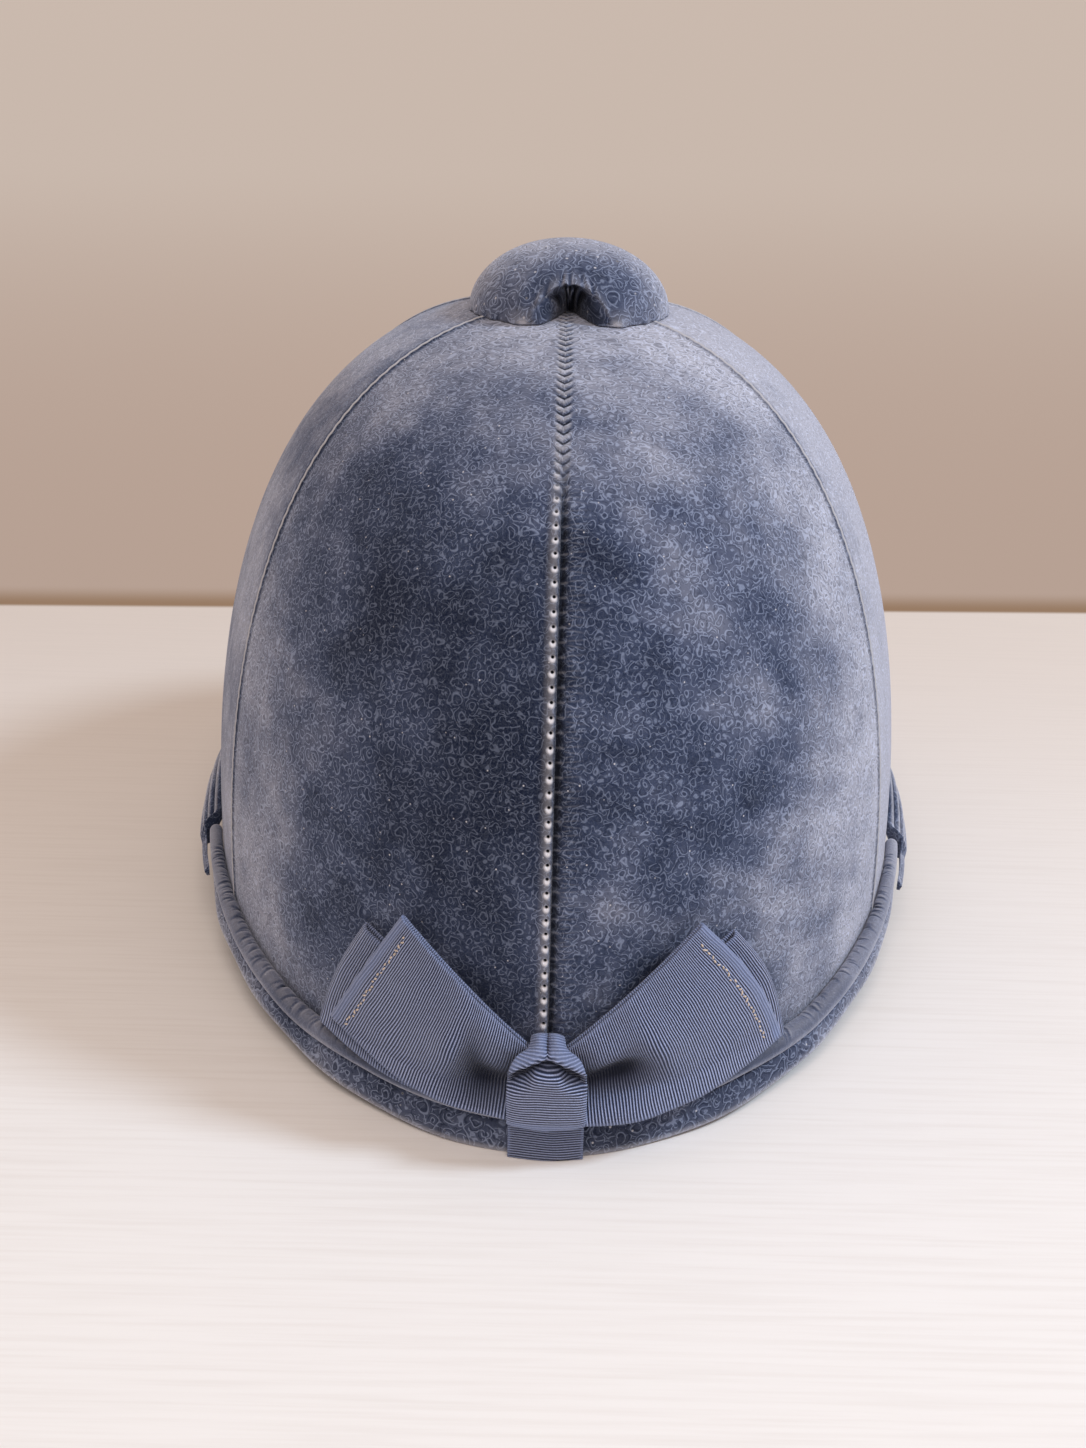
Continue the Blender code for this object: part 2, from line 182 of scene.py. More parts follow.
def arc_length(points, axis):
    steps = np.linalg.norm(np.diff(points, axis=axis), axis=-1)
    total = np.cumsum(steps, axis=axis)
    pad = [(0, 0), (0, 0)]
    pad[axis] = (1, 0)
    return np.pad(total, pad)


# materials
class Nodes:
    """Short calls for building a material's nodes."""

    def __init__(self, name):
        self.material = bpy.data.materials.new(name)
        self.material.use_nodes = True
        self.tree = self.material.node_tree
        self.shader = self.tree.nodes["Principled BSDF"]

    def put(self, socket, value):
        if isinstance(value, bpy.types.NodeSocket):
            self.tree.links.new(value, socket)
        else:
            socket.default_value = value

    def add(self, kind, inputs=(), **settings):
        node = self.tree.nodes.new(kind)
        for key, value in settings.items():
            setattr(node, key, value)
        for key, value in dict(inputs).items():
            self.put(node.inputs[key], value)
        return node

    def math(self, operation, *values):
        return self.add("ShaderNodeMath", enumerate(values), operation=operation).outputs[0]

    plus = partialmethod(math, "ADD")
    minus = partialmethod(math, "SUBTRACT")
    times = partialmethod(math, "MULTIPLY")
    abs = partialmethod(math, "ABSOLUTE")
    max = partialmethod(math, "MAXIMUM")

    def length(self, first, second):
        return self.math("SQRT", self.plus(self.times(first, first), self.times(second, second)))

    def cycle(self, value):
        """How far a value is from the middle of its unit step, -0.5 to 0.5."""
        return self.minus(self.math("FRACT", value), 0.5)

    def vector(self, operation, first, second):
        key = "Scale" if operation == "SCALE" else 1
        node = self.add("ShaderNodeVectorMath", {0: first, key: second}, operation=operation)
        return node.outputs[0]

    def axes(self, vector):
        return self.add("ShaderNodeSeparateXYZ", {0: vector}).outputs

    def kept(self, name, output="Fac"):
        """A value kept on the mesh."""
        return self.add("ShaderNodeAttribute", attribute_name=name).outputs[output]

    def shade(self):
        """The light and the dark part of the shade kept on the mesh."""
        shade = self.kept("shade")
        return self.max(shade, 0.0), self.max(self.times(shade, -1.0), 0.0)

    def where(self, scale=1 / MM):
        """Place on the object, in millimetres."""
        place = self.add("ShaderNodeTexCoord").outputs["Object"]
        return self.vector("SCALE", place, scale)

    def step(self, value, low, high, start=0.0, end=1.0):
        """Smooth step from start to end as the value goes from low to high."""
        inputs = enumerate((value, low, high, start, end))
        node = self.add("ShaderNodeMapRange", inputs, interpolation_type="SMOOTHSTEP")
        return node.outputs["Result"]

    def noise(self, where, size, detail=2.0, output="Fac", rough=0.5):
        inputs = {"Vector": where, "Scale": 1 / size, "Detail": detail, "Roughness": rough}
        return self.add("ShaderNodeTexNoise", inputs).outputs[output]

    def cells(self, where, size):
        """Distance to the nearest of some scattered centres, and two numbers of that centre."""
        near = self.add("ShaderNodeTexVoronoi", {"Vector": where, "Scale": 1 / size}).outputs
        own = self.add("ShaderNodeSeparateColor", {"Color": near["Color"]}).outputs
        return self.times(near["Distance"], size), own[0], own[1]

    def blend(self, share, first, second):
        node = self.add("ShaderNodeMix", {"Factor": share, 2: first, 3: second}, data_type="FLOAT")
        return node.outputs[0]

    def mix(self, share, first, second, kind="MIX"):
        node = self.add("ShaderNodeMix", {"Factor": share}, data_type="RGBA", blend_type=kind)
        for key, value in ((6, first), (7, second)):
            self.put(node.inputs[key], (*value, 1.0) if isinstance(value, tuple) else value)
        return node.outputs[2]

    def finish(self, colour, roughness, specular, height=None, depth=0.0, sheen=None):
        inputs = self.shader.inputs
        self.put(inputs["Base Color"], colour)
        inputs["Roughness"].default_value = roughness
        inputs["Specular IOR Level"].default_value = specular
        if height is not None:
            bumps = self.add("ShaderNodeBump", {"Height": height, "Distance": depth})
            self.put(inputs["Normal"], bumps.outputs["Normal"])
            weight, rough, tint = sheen
            inputs["Sheen Weight"].default_value = weight
            inputs["Sheen Roughness"].default_value = rough
            inputs["Sheen Tint"].default_value = (*tint, 1.0)
        return self.material


VELVET_DARK = (0.006, 0.011, 0.032)
VELVET_MID = (0.046, 0.064, 0.128)
VELVET_LIGHT = (0.46, 0.475, 0.57)
VELVET_LINE = (0.120, 0.142, 0.195)
# the pale colour also paints highlights, and the hole colour also paints shade
VELVET_PALE_AND_HIGHLIGHT = (0.70, 0.70, 0.76)
VELVET_HOLE_AND_SHADE = (0.004, 0.005, 0.009)
SHEEN_TINT = (0.76, 0.82, 1.0)
STITCH_PITCH = 3.3
CHEVRON_PITCH = 2.9
CHEVRON_SLOPE = 0.75
RIDGE_AWAY = 1.1
UPPER_SEAM = (139.0, 155.0)

# marks of the seams: painted highlights on lips, ridges, puckers, chevrons and gathers, painted
# shade in holes, valleys, grooves and beside lips, and pale threads; in millimetres: where each
# starts and ends, and its strength there
NEAR_STITCH = (1.2, 2.2, 1.0, 0.0)
LIP_AWAY = 0.42
LIP_WAVE = 0.16
LIP_LIGHT = (0.20, 0.56, 0.95, 0.0)
LIP_DARK = (0.9, 2.6, 0.34, 0.0)
TICK_LIGHT = (0.1, 0.3, 0.4, 0.0)
UNDER_DARK = (0.55, 1.45, 0.92, 0.0)
CHEVRON_LIGHT = (0.10, 0.34, 0.26, 0.0)
CHEVRON_DARK = (0.30, 0.44, 0.0, 0.85)
RIDGE_LEAN = (-0.2, 0.2, 1.25, 0.72)
RIDGE_GLOW = (0.0, 1.7, 0.20, 0.0)
CRESCENT_BELOW = 0.48
CRESCENT_LIGHT = (0.25, 1.15, 0.85, 0.0)
HOLE_DARK = (0.26, 0.50, 1.0, 0.0)
VALLEY_DARK = (0.0, 0.75, 0.75, 0.0)
GROOVE_WAVE = 0.34
GROOVE_DARK = (0.5, 2.2, 0.85, 0.0)
THREAD_LIGHT = (0.06, 0.5, 0.16, 0.0)
RAY_SPREAD = (0.3, 0.8)
RAY_PITCH = 9.0
RAY_LIGHT = (0.3, 1.0, 0.0, 0.07)
RAY_START = (1.6, 2.6)
RAY_STOP = (3.5, 7.0, 1.0, 0.0)
UPPER_FADE = 0.85


def seam_marks(n, style, away, along, upper):
    """Painted highlights, painted shade and pale threads of a seam, in millimetres away from it
    and along it.
    """
    beat = n.times(n.cycle(n.math("DIVIDE", along, STITCH_PITCH)), STITCH_PITCH)
    wave = n.math("COSINE", n.times(beat, TURN / STITCH_PITCH))
    near = n.step(away, *NEAR_STITCH)
    if style == "edge":
        lip = n.plus(n.minus(away, LIP_AWAY), n.times(wave, LIP_WAVE))
        return n.step(n.abs(lip), *LIP_LIGHT), n.step(away, *LIP_DARK)
    if style == "under":
        return n.times(n.step(n.abs(beat), *TICK_LIGHT), near), n.step(away, *UNDER_DARK)
    slant = n.minus(along, n.times(away, CHEVRON_SLOPE))
    vee = n.abs(n.cycle(n.math("DIVIDE", slant, CHEVRON_PITCH)))
    inside = n.times(near, upper)
    if style == "ridge":
        off = n.minus(away, RIDGE_AWAY)
        wide = n.times(n.abs(off), n.step(off, *RIDGE_LEAN))
        crescent = n.step(n.length(off, n.plus(beat, CRESCENT_BELOW)), *CRESCENT_LIGHT)
        light = n.plus(n.step(wide, *RIDGE_GLOW), crescent)
        dark = n.max(n.step(n.length(off, beat), *HOLE_DARK), n.step(away, *VALLEY_DARK))
    else:
        ragged = n.plus(away, n.times(wave, GROOVE_WAVE))
        thread = n.times(n.step(n.abs(beat), *THREAD_LIGHT), near)
        spread = n.math("DIVIDE", beat, n.plus(n.times(away, RAY_SPREAD[0]), RAY_SPREAD[1]))
        rays = n.step(n.math("SINE", n.times(spread, RAY_PITCH)), *RAY_LIGHT)
        rays = n.times(rays, n.times(n.step(away, *RAY_START), n.step(away, *RAY_STOP)))
        light = n.max(thread, rays)
        dark = n.times(n.step(ragged, *GROOVE_DARK), n.minus(1.0, thread))
    plain = n.minus(1.0, n.times(upper, UPPER_FADE))
    light = n.plus(n.times(light, plain), n.times(n.step(vee, *CHEVRON_LIGHT), inside))
    dark = n.max(n.times(dark, plain), n.times(n.step(vee, *CHEVRON_DARK), inside))
    return light, dark


# the velvet's swirls, in millimetres: they are drawn larger round the top of the crown
APEX_SPREAD = (15.0, 85.0, 0.62)
WARP_SIZE = 2.4
WARP_REACH = 2.2
BREAK_SIZE = 1.9
RING_PITCH = 1.1
RING_KEEP = (0.38, 0.47)
RING_LIGHT = (0.02, 0.20, 1.0, 0.0)
RING_SHADOW = 0.32
RING_DARK = (0.06, 0.26, 1.0, 0.0)
RING_DARKNESS = 0.38
CURL_SIZE = 0.62
CURL_LEVELS = 2.8
CURL_LIGHT = (0.02, 0.12, 0.95, 0.0)
CURL_KEEP = (0.46, 0.58, 1.0, 0.25)
GRAIN_SIZE = 0.45
# its brushed patches: size and weight of the noises, and the steps from dark to pale, which the
# painted light and painted sheen go through too
PATCH_SIZE = 30.0
CLOUD_SIZE = 9.0
CLOUD_WEIGHT = 0.45
PATCH_MIDDLE = 0.43
# painted sheen: paler where the surface is seen side-on
PAINTED_SHEEN = (0.15, 0.95, 0.0, 0.62)
SLANT = 0.55
NAP_MID = (-0.05, 0.50)
NAP_LIGHT = (0.25, 1.25)
NAP_GRAIN = (0.3, 0.75, 0.0, 0.28)
NAP_LINES = (0.0, 1.1, 0.62, 2.4)
# its specks: those of some cells are pale, and some are dark holes
SPECK_PITCH = 2.5
SPECK_RADIUS = 0.10
SPECK_LIGHT = (0.58, 0.60, 0.0, 0.75)
SPECK_HOLE = (0.90, 0.92, 0.0, 0.85)


def velvet(name, lines=1.0, pale=0.0, swirl=2.6, streaks=0.0, slant=0.0, seams=()):
    """Crushed velvet with embossed swirling lines, pale specks, dark pin holes and brushed nap,
    with painted sheen, painted highlights and painted shade.
    """
    n = Nodes(name)
    where = n.where()
    from_apex = n.vector("SUBTRACT", where, (0.0, CROWN_Y / MM, CROWN_HEIGHT / MM))
    apart = n.add("ShaderNodeVectorMath", {0: from_apex}, operation="LENGTH").outputs["Value"]
    drawn = n.vector("SCALE", from_apex, n.step(apart, *APEX_SPREAD) if seams else 1.0)
    warp = n.vector("SUBTRACT", n.noise(drawn, WARP_SIZE, 0.0, "Color"), (0.5, 0.5, 0.5))
    bent = n.vector("ADD", drawn, n.vector("SCALE", warp, WARP_REACH))
    # rings round scattered centres, each with a painted shadow along one side, and loose curls
    # between them
    reach, start, _ = n.cells(bent, swirl)
    off = n.times(n.cycle(n.plus(n.math("DIVIDE", reach, RING_PITCH), start)), RING_PITCH)
    breaks = n.noise(drawn, BREAK_SIZE, 1.0)
    ring_keep = n.step(breaks, *RING_KEEP)
    ring_light = n.times(n.step(n.abs(off), *RING_LIGHT), ring_keep)
    ring_painted_shadow = n.times(n.step(n.abs(n.plus(off, RING_SHADOW)), *RING_DARK), ring_keep)
    level = n.times(n.noise(drawn, swirl * CURL_SIZE, 0.0), CURL_LEVELS)
    curls = n.times(n.step(n.abs(n.cycle(level)), *CURL_LIGHT), n.step(breaks, *CURL_KEEP))
    raised = n.max(ring_light, curls)
    grain = n.noise(where, GRAIN_SIZE, rough=0.7)
    # brushed nap: large soft patches, plus the painted light kept on the mesh, and a painted sheen
    # that makes it paler where the pile is seen from its side
    nap_and_painted_light = n.plus(n.noise(where, PATCH_SIZE), n.times(n.noise(where, CLOUD_SIZE), CLOUD_WEIGHT))
    nap_and_painted_light = n.plus(n.minus(nap_and_painted_light, PATCH_MIDDLE), n.kept("nap_and_painted_light"))
    facing = n.add("ShaderNodeLayerWeight", {"Blend": 0.5}).outputs["Facing"]
    nap_and_painted_light = n.plus(nap_and_painted_light, n.step(facing, *PAINTED_SHEEN))
    side, _, level = n.axes(where)
    if streaks:
        long = n.noise(n.vector("MULTIPLY", where, (1.1, 1.1, 0.09)), 2.2, rough=0.6)
        nap_and_painted_light = n.plus(nap_and_painted_light, n.times(n.minus(long, 0.5), streaks))
    if slant:
        along = {0: n.times(side, 0.2), 2: n.plus(level, n.times(side, SLANT))}
        bands = n.noise(n.add("ShaderNodeCombineXYZ", along).outputs[0], 8.0)
        nap_and_painted_light = n.plus(nap_and_painted_light, n.times(n.minus(bands, 0.5), slant))
    colour = n.mix(n.step(nap_and_painted_light, *NAP_MID), VELVET_DARK, VELVET_MID)
    colour = n.mix(n.step(nap_and_painted_light, *NAP_LIGHT), colour, VELVET_LIGHT)
    colour = n.mix(pale, colour, VELVET_LIGHT)
    colour = n.mix(n.step(grain, *NAP_GRAIN), colour, VELVET_LINE)
    strength = n.times(n.step(nap_and_painted_light, *NAP_LINES), lines)
    colour = n.mix(n.times(raised, strength), colour, VELVET_LINE, "ADD")
    colour = n.mix(n.times(ring_painted_shadow, RING_DARKNESS * lines), colour, VELVET_DARK)
    apart, lit, pierced = n.cells(where, SPECK_PITCH)
    close = n.step(apart, SPECK_RADIUS, SPECK_RADIUS * swirl + 0.02, 1.0, 0.0)
    speck = n.times(close, n.step(lit, *SPECK_LIGHT))
    colour = n.mix(n.times(speck, min(lines, 1.0)), colour, VELVET_PALE_AND_HIGHLIGHT)
    colour = n.mix(n.times(close, n.step(pierced, *SPECK_HOLE)), colour, VELVET_HOLE_AND_SHADE)
    # painted highlights and painted shade: from the shade kept on the mesh and from the marks of
    # the seams
    light, dark = n.shade()
    if seams:
        away, along, right = n.axes(n.kept("seam", "Vector"))
        upper = n.step(level, *UPPER_SEAM)
        share = n.step(right, 0.4, 0.6)
        first, second = (seam_marks(n, style, away, along, upper) for style in seams)
        light = n.plus(light, n.blend(share, first[0], second[0]))
        dark = n.max(dark, n.blend(share, first[1], second[1]))
    colour = n.mix(light, colour, VELVET_PALE_AND_HIGHLIGHT)
    colour = n.mix(dark, colour, VELVET_HOLE_AND_SHADE)
    return n.finish(colour, 0.9, 0.06, grain, 0.22 * MM, (0.28, 0.35, SHEEN_TINT))


RIBBON_DARK = (0.014, 0.023, 0.062)
RIBBON_MID = (0.145, 0.190, 0.345)
RIBBON_LIGHT = (0.46, 0.54, 0.84)
RIBBON_PLAIN = (0.20, 0.245, 0.40)
# colour of painted shade
RIBBON_SHADE = (0.009, 0.013, 0.034)
RIB = 0.68
RIB_WANDER = 1.4
RIB_MID = (0.18, 0.60)
RIB_LIGHT = (0.50, 0.92, 0.0, 0.9)
WEAVE_DARK = (0.35, 0.75, 0.0, 0.25)


def ribbon(name, shade_tone=1.0):
    """Grosgrain ribbon: ribs run across it, closely spaced along its length."""
    n = Nodes(name)
    cloth = n.kept("cloth", "Vector")
    wander = n.times(n.minus(n.noise(cloth, 12.0, 1.0), 0.5), RIB_WANDER)
    ribs = n.math("SINE", n.times(n.plus(n.axes(cloth)[0], wander), TURN / RIB))
    ribs = n.plus(n.times(ribs, 0.5), 0.5)
    weave = n.noise(n.vector("MULTIPLY", cloth, (0.5, 3.2, 1.0)), 1.0, rough=0.6)
    colour = n.mix(n.step(ribs, *RIB_MID), RIBBON_DARK, RIBBON_MID)
    colour = n.mix(n.step(ribs, *RIB_LIGHT), colour, RIBBON_LIGHT)
    colour = n.mix(n.step(weave, *WEAVE_DARK), colour, RIBBON_DARK)
    # painted shade: darker copies of the ribbon for the back loops and the tail
    colour = n.mix(1 - shade_tone, colour, RIBBON_DARK)
    # the light part of the kept shade makes plain, unribbed ribbon; its dark part is painted shade
    light, dark = n.shade()
    plain = n.mix(n.step(n.noise(cloth, 0.4), 0.2, 0.8), RIBBON_MID, RIBBON_PLAIN)
    colour = n.mix(dark, n.mix(light, colour, plain), RIBBON_SHADE)
    height = n.plus(n.times(ribs, n.minus(1.0, light)), n.times(weave, 0.25))
    return n.finish(colour, 0.62, 0.25, height, 0.4 * MM, (0.30, 0.4, SHEEN_TINT))


def thread_material(name, colour):
    n = Nodes(name)
    strands = n.noise(n.where(), 0.25)
    tint = n.mix(n.step(strands, 0.3, 0.7), tuple(part * 0.6 for part in colour), colour)
    return n.finish(tint, 0.7, 0.2, strands, 0.1 * MM, (0.3, 0.4, (1.0, 1.0, 1.0)))


velvet_trim = velvet("velvet_trim", 1.35, 0.04, swirl=3.8)
velvet_piping = velvet("velvet_piping", 0.25, 0.08)
velvet_peak = velvet("velvet_peak", 0.8, 0.0)
velvet_button = velvet("velvet_button", 1.05, 0.02, swirl=5.0)
ribbon_bow = ribbon("ribbon_bow")
# the back loops and the tail are darker copies, as painted shade
ribbon_back = ribbon("ribbon_back_loops", 0.9)
ribbon_knot = ribbon("ribbon_knot")
ribbon_tail = ribbon("ribbon_tail", 0.7)
thread_beige = thread_material("thread_beige", (0.74, 0.64, 0.56))

# crown panels
NEAR_SEAM = MM * np.array((0.15, 0.3, 0.5, 0.7, 0.9, 1.1, 1.3, 1.6,
                           2.0, 2.4, 2.8, 3.3, 3.9, 4.7, 5.8, 7.5))
NEAR_SHARE = 0.42
MIDDLE_COLUMNS = 16
PROBES = 161
RELIEF_FULL = 10 * MM
BACK_ROWS = 600
SIDE_ROWS = 260

# node, azimuth of the left and right seams in degrees, style of each, rows, and the lines,
# upright streaks and slanted bands of its velvet
GORES = (
    ("gore_back_left", -58.0, -0.5, "edge", "ridge", BACK_ROWS, 1.0, 0.0, 0.0),
    ("gore_back_right", -0.5, 58.0, "groove", "edge", BACK_ROWS, 1.0, 0.0, 0.5),
    ("gore_side_right", 58.0, 120.0, "under", "edge", SIDE_ROWS, 0.45, 0.5, 0.0),
    ("gore_front_right", 120.0, 180.0, "under", "ridge", SIDE_ROWS, 1.0, 0.0, 0.0),
    ("gore_front_left", 180.0, 240.0, "groove", "under", SIDE_ROWS, 1.0, 0.0, 0.0),
    ("gore_side_left", 240.0, 302.0, "edge", "under", SIDE_ROWS, 0.45, 0.5, 0.0),
)

# patches of the back, the nap's own mottling with painted sheen in the pale ones towards the top:
# x and height of the middle, half width, half height, change of nap
NAP_PATCHES = (
    (14.0, 160.0, 26.0, 13.0, 0.30),
    (-20.0, 158.0, 30.0, 9.0, 0.12),
    (32.0, 134.0, 20.0, 17.0, 0.17),
    (-12.0, 110.0, 16.0, 16.0, -0.40),
    (-38.0, 98.0, 26.0, 34.0, -0.16),
    (34.0, 112.0, 22.0, 16.0, 0.10),
    (-40.0, 62.0, 34.0, 20.0, -0.10),
    (28.0, 62.0, 16.0, 12.0, 0.08),
)


def seam_relief(style, away, along, upper):
    """Height beside a seam, all in millimetres but upper, which is 0 to 1."""
    beat = (along / STITCH_PITCH % 1.0 - 0.5) * STITCH_PITCH
    wave = np.cos(TURN * beat / STITCH_PITCH)
    vee = np.abs((along - CHEVRON_SLOPE * away) / CHEVRON_PITCH % 1.0 - 0.5)
    chevrons = bump(away, 0.8, 1.1) * (0.45 * smooth(vee, 0.42, 0.12) - 0.25)
    if style == "ridge":
        hole = np.hypot(away - RIDGE_AWAY, beat)
        height = 0.42 * bump(away, RIDGE_AWAY, 1.2) - 0.8 * bump(away, 0.0, 0.35)
        height = height - 0.09 * bump(away, RIDGE_AWAY, 1.3) * wave - 0.9 * bump(hole, 0.0, 0.42)
        height = height - 0.25 * bump(away, 3.6, 1.2)
        return blend(height, chevrons, upper)
    if style == "groove":
        shoulder = 0.18 * bump(away, 3.2, 1.2) * (1 - 0.6 * wave)
        return blend(shoulder - bump(away, 0.5, 1.0 + 0.25 * wave), chevrons, upper)
    if style == "edge":
        return 0.55 * bump(away + 0.16 * wave, 0.25, 0.9)
    return -0.9 * bump(away, 0.0, 1.2)


def side_light_and_patches(points, azimuth):
    """Painted light and nap on the crown: paler to the right as painted light from that side, and
    paler or darker in the patches above, the nap's own mottling with painted sheen.
    """
    # painted light: paler towards the right, the lit side
    nap_and_painted_light = 0.09 * np.sin(azimuth) + 0.24 * np.maximum(np.sin(azimuth), 0.0) ** 3
    back = smooth(CROWN_Y - points[..., 1], 0.0, 20 * MM)
    for x, z, wide, high, change in NAP_PATCHES:
        away = np.hypot((points[..., 0] / MM - x) / wide, (points[..., 2] / MM - z) / high)
        nap_and_painted_light = nap_and_painted_light + change * back * np.exp(-away ** 2)
    return nap_and_painted_light


def make_gore(name, left, right, left_style, right_style, rows, lines, streaks, slant):
    """A velvet panel of the crown with its seams, stitch holes and puckers."""
    seams = np.radians((left, right))
    top_angle = math.acos(VENT_SCALE ** (DOME_WIDTH_POWER / 2))

    def panel_points(azimuth, up):
        """Points of the plain crown, up from 0 at the hem to 1 at the vent."""
        share = (rim_height(azimuth) - CROWN_HEM) / CROWN_HEIGHT
        hem = np.arcsin(share ** (DOME_HEIGHT_POWER / 2))
        level = np.sin(blend(hem, top_angle, up)) ** (2 / DOME_HEIGHT_POWER)
        return crown_point(azimuth, CROWN_HEIGHT * level)

    probe = np.linspace(0.0, 1.0, PROBES)
    azimuth = blend(*seams, probe)[None]
    up = np.linspace(0.0, 1.0, rows)
    line = panel_points(azimuth[:, PROBES // 2:PROBES // 2 + 1], up[:, None])
    length = arc_length(line, 0)[:, 0]
    up = np.interp(np.linspace(0.0, length[-1], rows), length, up)[:, None]
    surface = panel_points(azimuth, up)
    reach = arc_length(surface, 1)
    width = reach[:, -1:]
    near = NEAR_SEAM[None] * np.minimum(1.0, width * NEAR_SHARE / NEAR_SEAM[-1])
    inner = np.linspace(0.0, 1.0, MIDDLE_COLUMNS + 2)[None, 1:-1]
    inner = blend(near[:, -1:], width - near[:, -1:], inner)
    targets = np.concatenate((0 * width, near, inner, (width - near)[:, ::-1], width), 1)
    share = np.stack([np.interp(row, line, probe) for row, line in zip(targets, reach)])
    azimuth = blend(*seams, share)
    points = panel_points(azimuth, up)
    normals = grid_normals(points)
    if np.mean(normals[..., :2] * (points[..., :2] - (0.0, CROWN_Y))) < 0:
        normals = -normals
    upper = smooth(points[..., 2] / MM, *UPPER_SEAM)
    relief = 0 * targets
    closest = []
    for column, style in ((0, left_style), (-1, right_style)):
        along = arc_length(surface[:, [column, column]], 0)[:, :1] / MM + 0 * targets
        away = (targets if column == 0 else width - targets) / MM
        relief = relief + seam_relief(style, away, along, upper)
        closest.append((away, along))
    from_right = (closest[1][0] < closest[0][0]) * 1.0
    spots = [np.where(from_right > 0, second, first) for first, second in zip(*closest)]
    flat = (float(width.max()), float(arc_length(points, 0)[-1].max()))
    fade = np.minimum(1.0, width / RELIEF_FULL)
    points = points + normals * (relief * fade * MM)[..., None]
    material = velvet("velvet_" + name, lines, streaks=streaks, slant=slant,
                      seams=(left_style, right_style))
    item = grid_mesh(name + "_velvet", points, material)
    keep(item, "nap_and_painted_light", side_light_and_patches(points, azimuth))
    keep(item, "seam", np.stack((*spots, from_right), -1))
    thicken(item, CROWN_WALL, -1.0)
    finish_piece(item, name)


def panel_area(points):
    """Area of a grid of points."""
    one = points[1:, :-1] - points[:-1, :-1]
    two = points[:-1, 1:] - points[:-1, :-1]
    return float(np.linalg.norm(np.cross(one, two), axis=-1).sum())


for row in GORES:
    make_gore(*row)

# button
BUTTON_X = 0.7 * MM
BUTTON_RADIUS = 26.0 * MM
BUTTON_HEIGHT = 15.0 * MM
BUTTON_TURNS = 400
BUTTON_CROWDING = 0.72
BUTTON_RINGS = 110
UNDER_RINGS = 12
MOUTH_ANGLE = 0.40
MOUTH_HEIGHT = 8.8 * MM
MOUTH_DEPTH = 8.5 * MM
MOUTH_NARROWING = 0.50
MOUTH_ROWS = 0.42


def make_button():
    """The padded velvet hood, gathered round an arched mouth towards the back."""
    step = np.linspace(0.0, TURN, BUTTON_TURNS, endpoint=False)[None]
    turn = (step - BUTTON_CROWDING * np.sin(step) + math.pi) % TURN - math.pi
    away = np.abs(turn)
    side = np.minimum(away / MOUTH_ANGLE, 1.0)
    mouth = (1 - side ** 2.4) ** 0.6
    rim = np.arccos((MOUTH_HEIGHT * mouth / BUTTON_HEIGHT) ** (1 / 0.92)) / (math.pi / 2)
    split = 1 - MOUTH_ROWS * mouth
    row = np.linspace(0.0, 1.0, BUTTON_RINGS)[:, None]
    ring = np.where(row <= split, row / split * rim, rim)
    inside = np.clip((row - split) / np.maximum(1 - split, 1e-9), 0.0, 1.0) * (mouth > 0)
    polar = ring * math.pi / 2
    radius = BUTTON_RADIUS * np.sin(polar) ** 0.97
    rise = BUTTON_HEIGHT * np.maximum(np.cos(polar), 0.0) ** 0.92
    inner = np.sin(inside * math.pi / 2)
    radius = radius - MOUTH_DEPTH * np.sqrt(1 - side ** 2) * inner ** 0.85
    rise = rise * np.maximum(np.cos(inside * math.pi / 2), 0.0) ** 0.8
    folds = np.cos(turn * 47.0 + 0.8 * np.sin(turn * 9.0)) + 0.6 * np.cos(turn * 74.0 + 1.3)
    lip = bump(row, split, 0.09) * np.sqrt(mouth)
    deep = np.sin(inside * math.pi) * mouth
    toe = bump(away, MOUTH_ANGLE * 1.22, 0.14)
    bulge = 0.9 * toe * np.sin(polar) ** 6 + 0.5 * lip
    radius = radius + MM * (bulge - (0.24 * lip + 0.55 * deep) * folds)
    rise = rise - MM * (0.26 * lip + 0.40 * deep) * folds
    turn = turn * (1 - MOUTH_NARROWING * inner * mouth ** 0.25)
    hem = bump(row, 1.0, 0.04) * (1 - mouth)
    radius = radius + 0.12 * MM * hem * (np.cos(turn * 23.0 + 0.7) + np.cos(turn * 37.0))
    x = BUTTON_X + radius * np.sin(turn)
    y = CROWN_Y - radius * np.cos(turn)
    z = crown_top(x, y) + PIECE_GAP + np.maximum(rise, 0.0)
    top = np.stack((x, y, z), -1)
    under = np.linspace(1.0, 0.02, UNDER_RINGS)[1:, None]
    low_x = BUTTON_X + (x[-1:] - BUTTON_X) * under
    low_y = CROWN_Y + (y[-1:] - CROWN_Y) * under
    low = np.stack((low_x, low_y, crown_top(low_x, low_y) + PIECE_GAP), -1)
    top[0] = top[0].mean(0) + (top[1] - top[1].mean(0)) * 0.02
    points = np.concatenate((top, low), 0)
    # painted shade inside the mouth, in the folds and under the button, painted highlights on the
    # V fold and on the lip, and paler at the toes and the mouth's lower corners
    vee = bump(inside, 0.80 - 2.2 * away, 0.07) * (away < 0.10)
    gloom = 0.66 + 0.28 * smooth(turn, -0.12, 0.02)
    shade = -gloom * smooth(inside, 0.02, 0.5) * mouth ** 0.3 - 0.34 * deep * folds + 1.1 * vee
    shade = shade - 0.13 * lip * np.maximum(folds, 0.0) + 0.12 * lip * (1 - deep)
    shade = shade + 0.16 * toe * smooth(ring, 0.8, 0.97)
    shade = shade + 0.5 * bump(away, MOUTH_ANGLE * 1.12, 0.05) * smooth(ring, 0.93, 0.99)
    shade = np.concatenate((np.clip(shade, -1, 1), np.full((len(low), BUTTON_TURNS), -0.5)), 0)
    item = grid_mesh("button_velvet", points, velvet_button, shade, closed=True, flip=True)
    finish_piece(item, "button")


make_button()

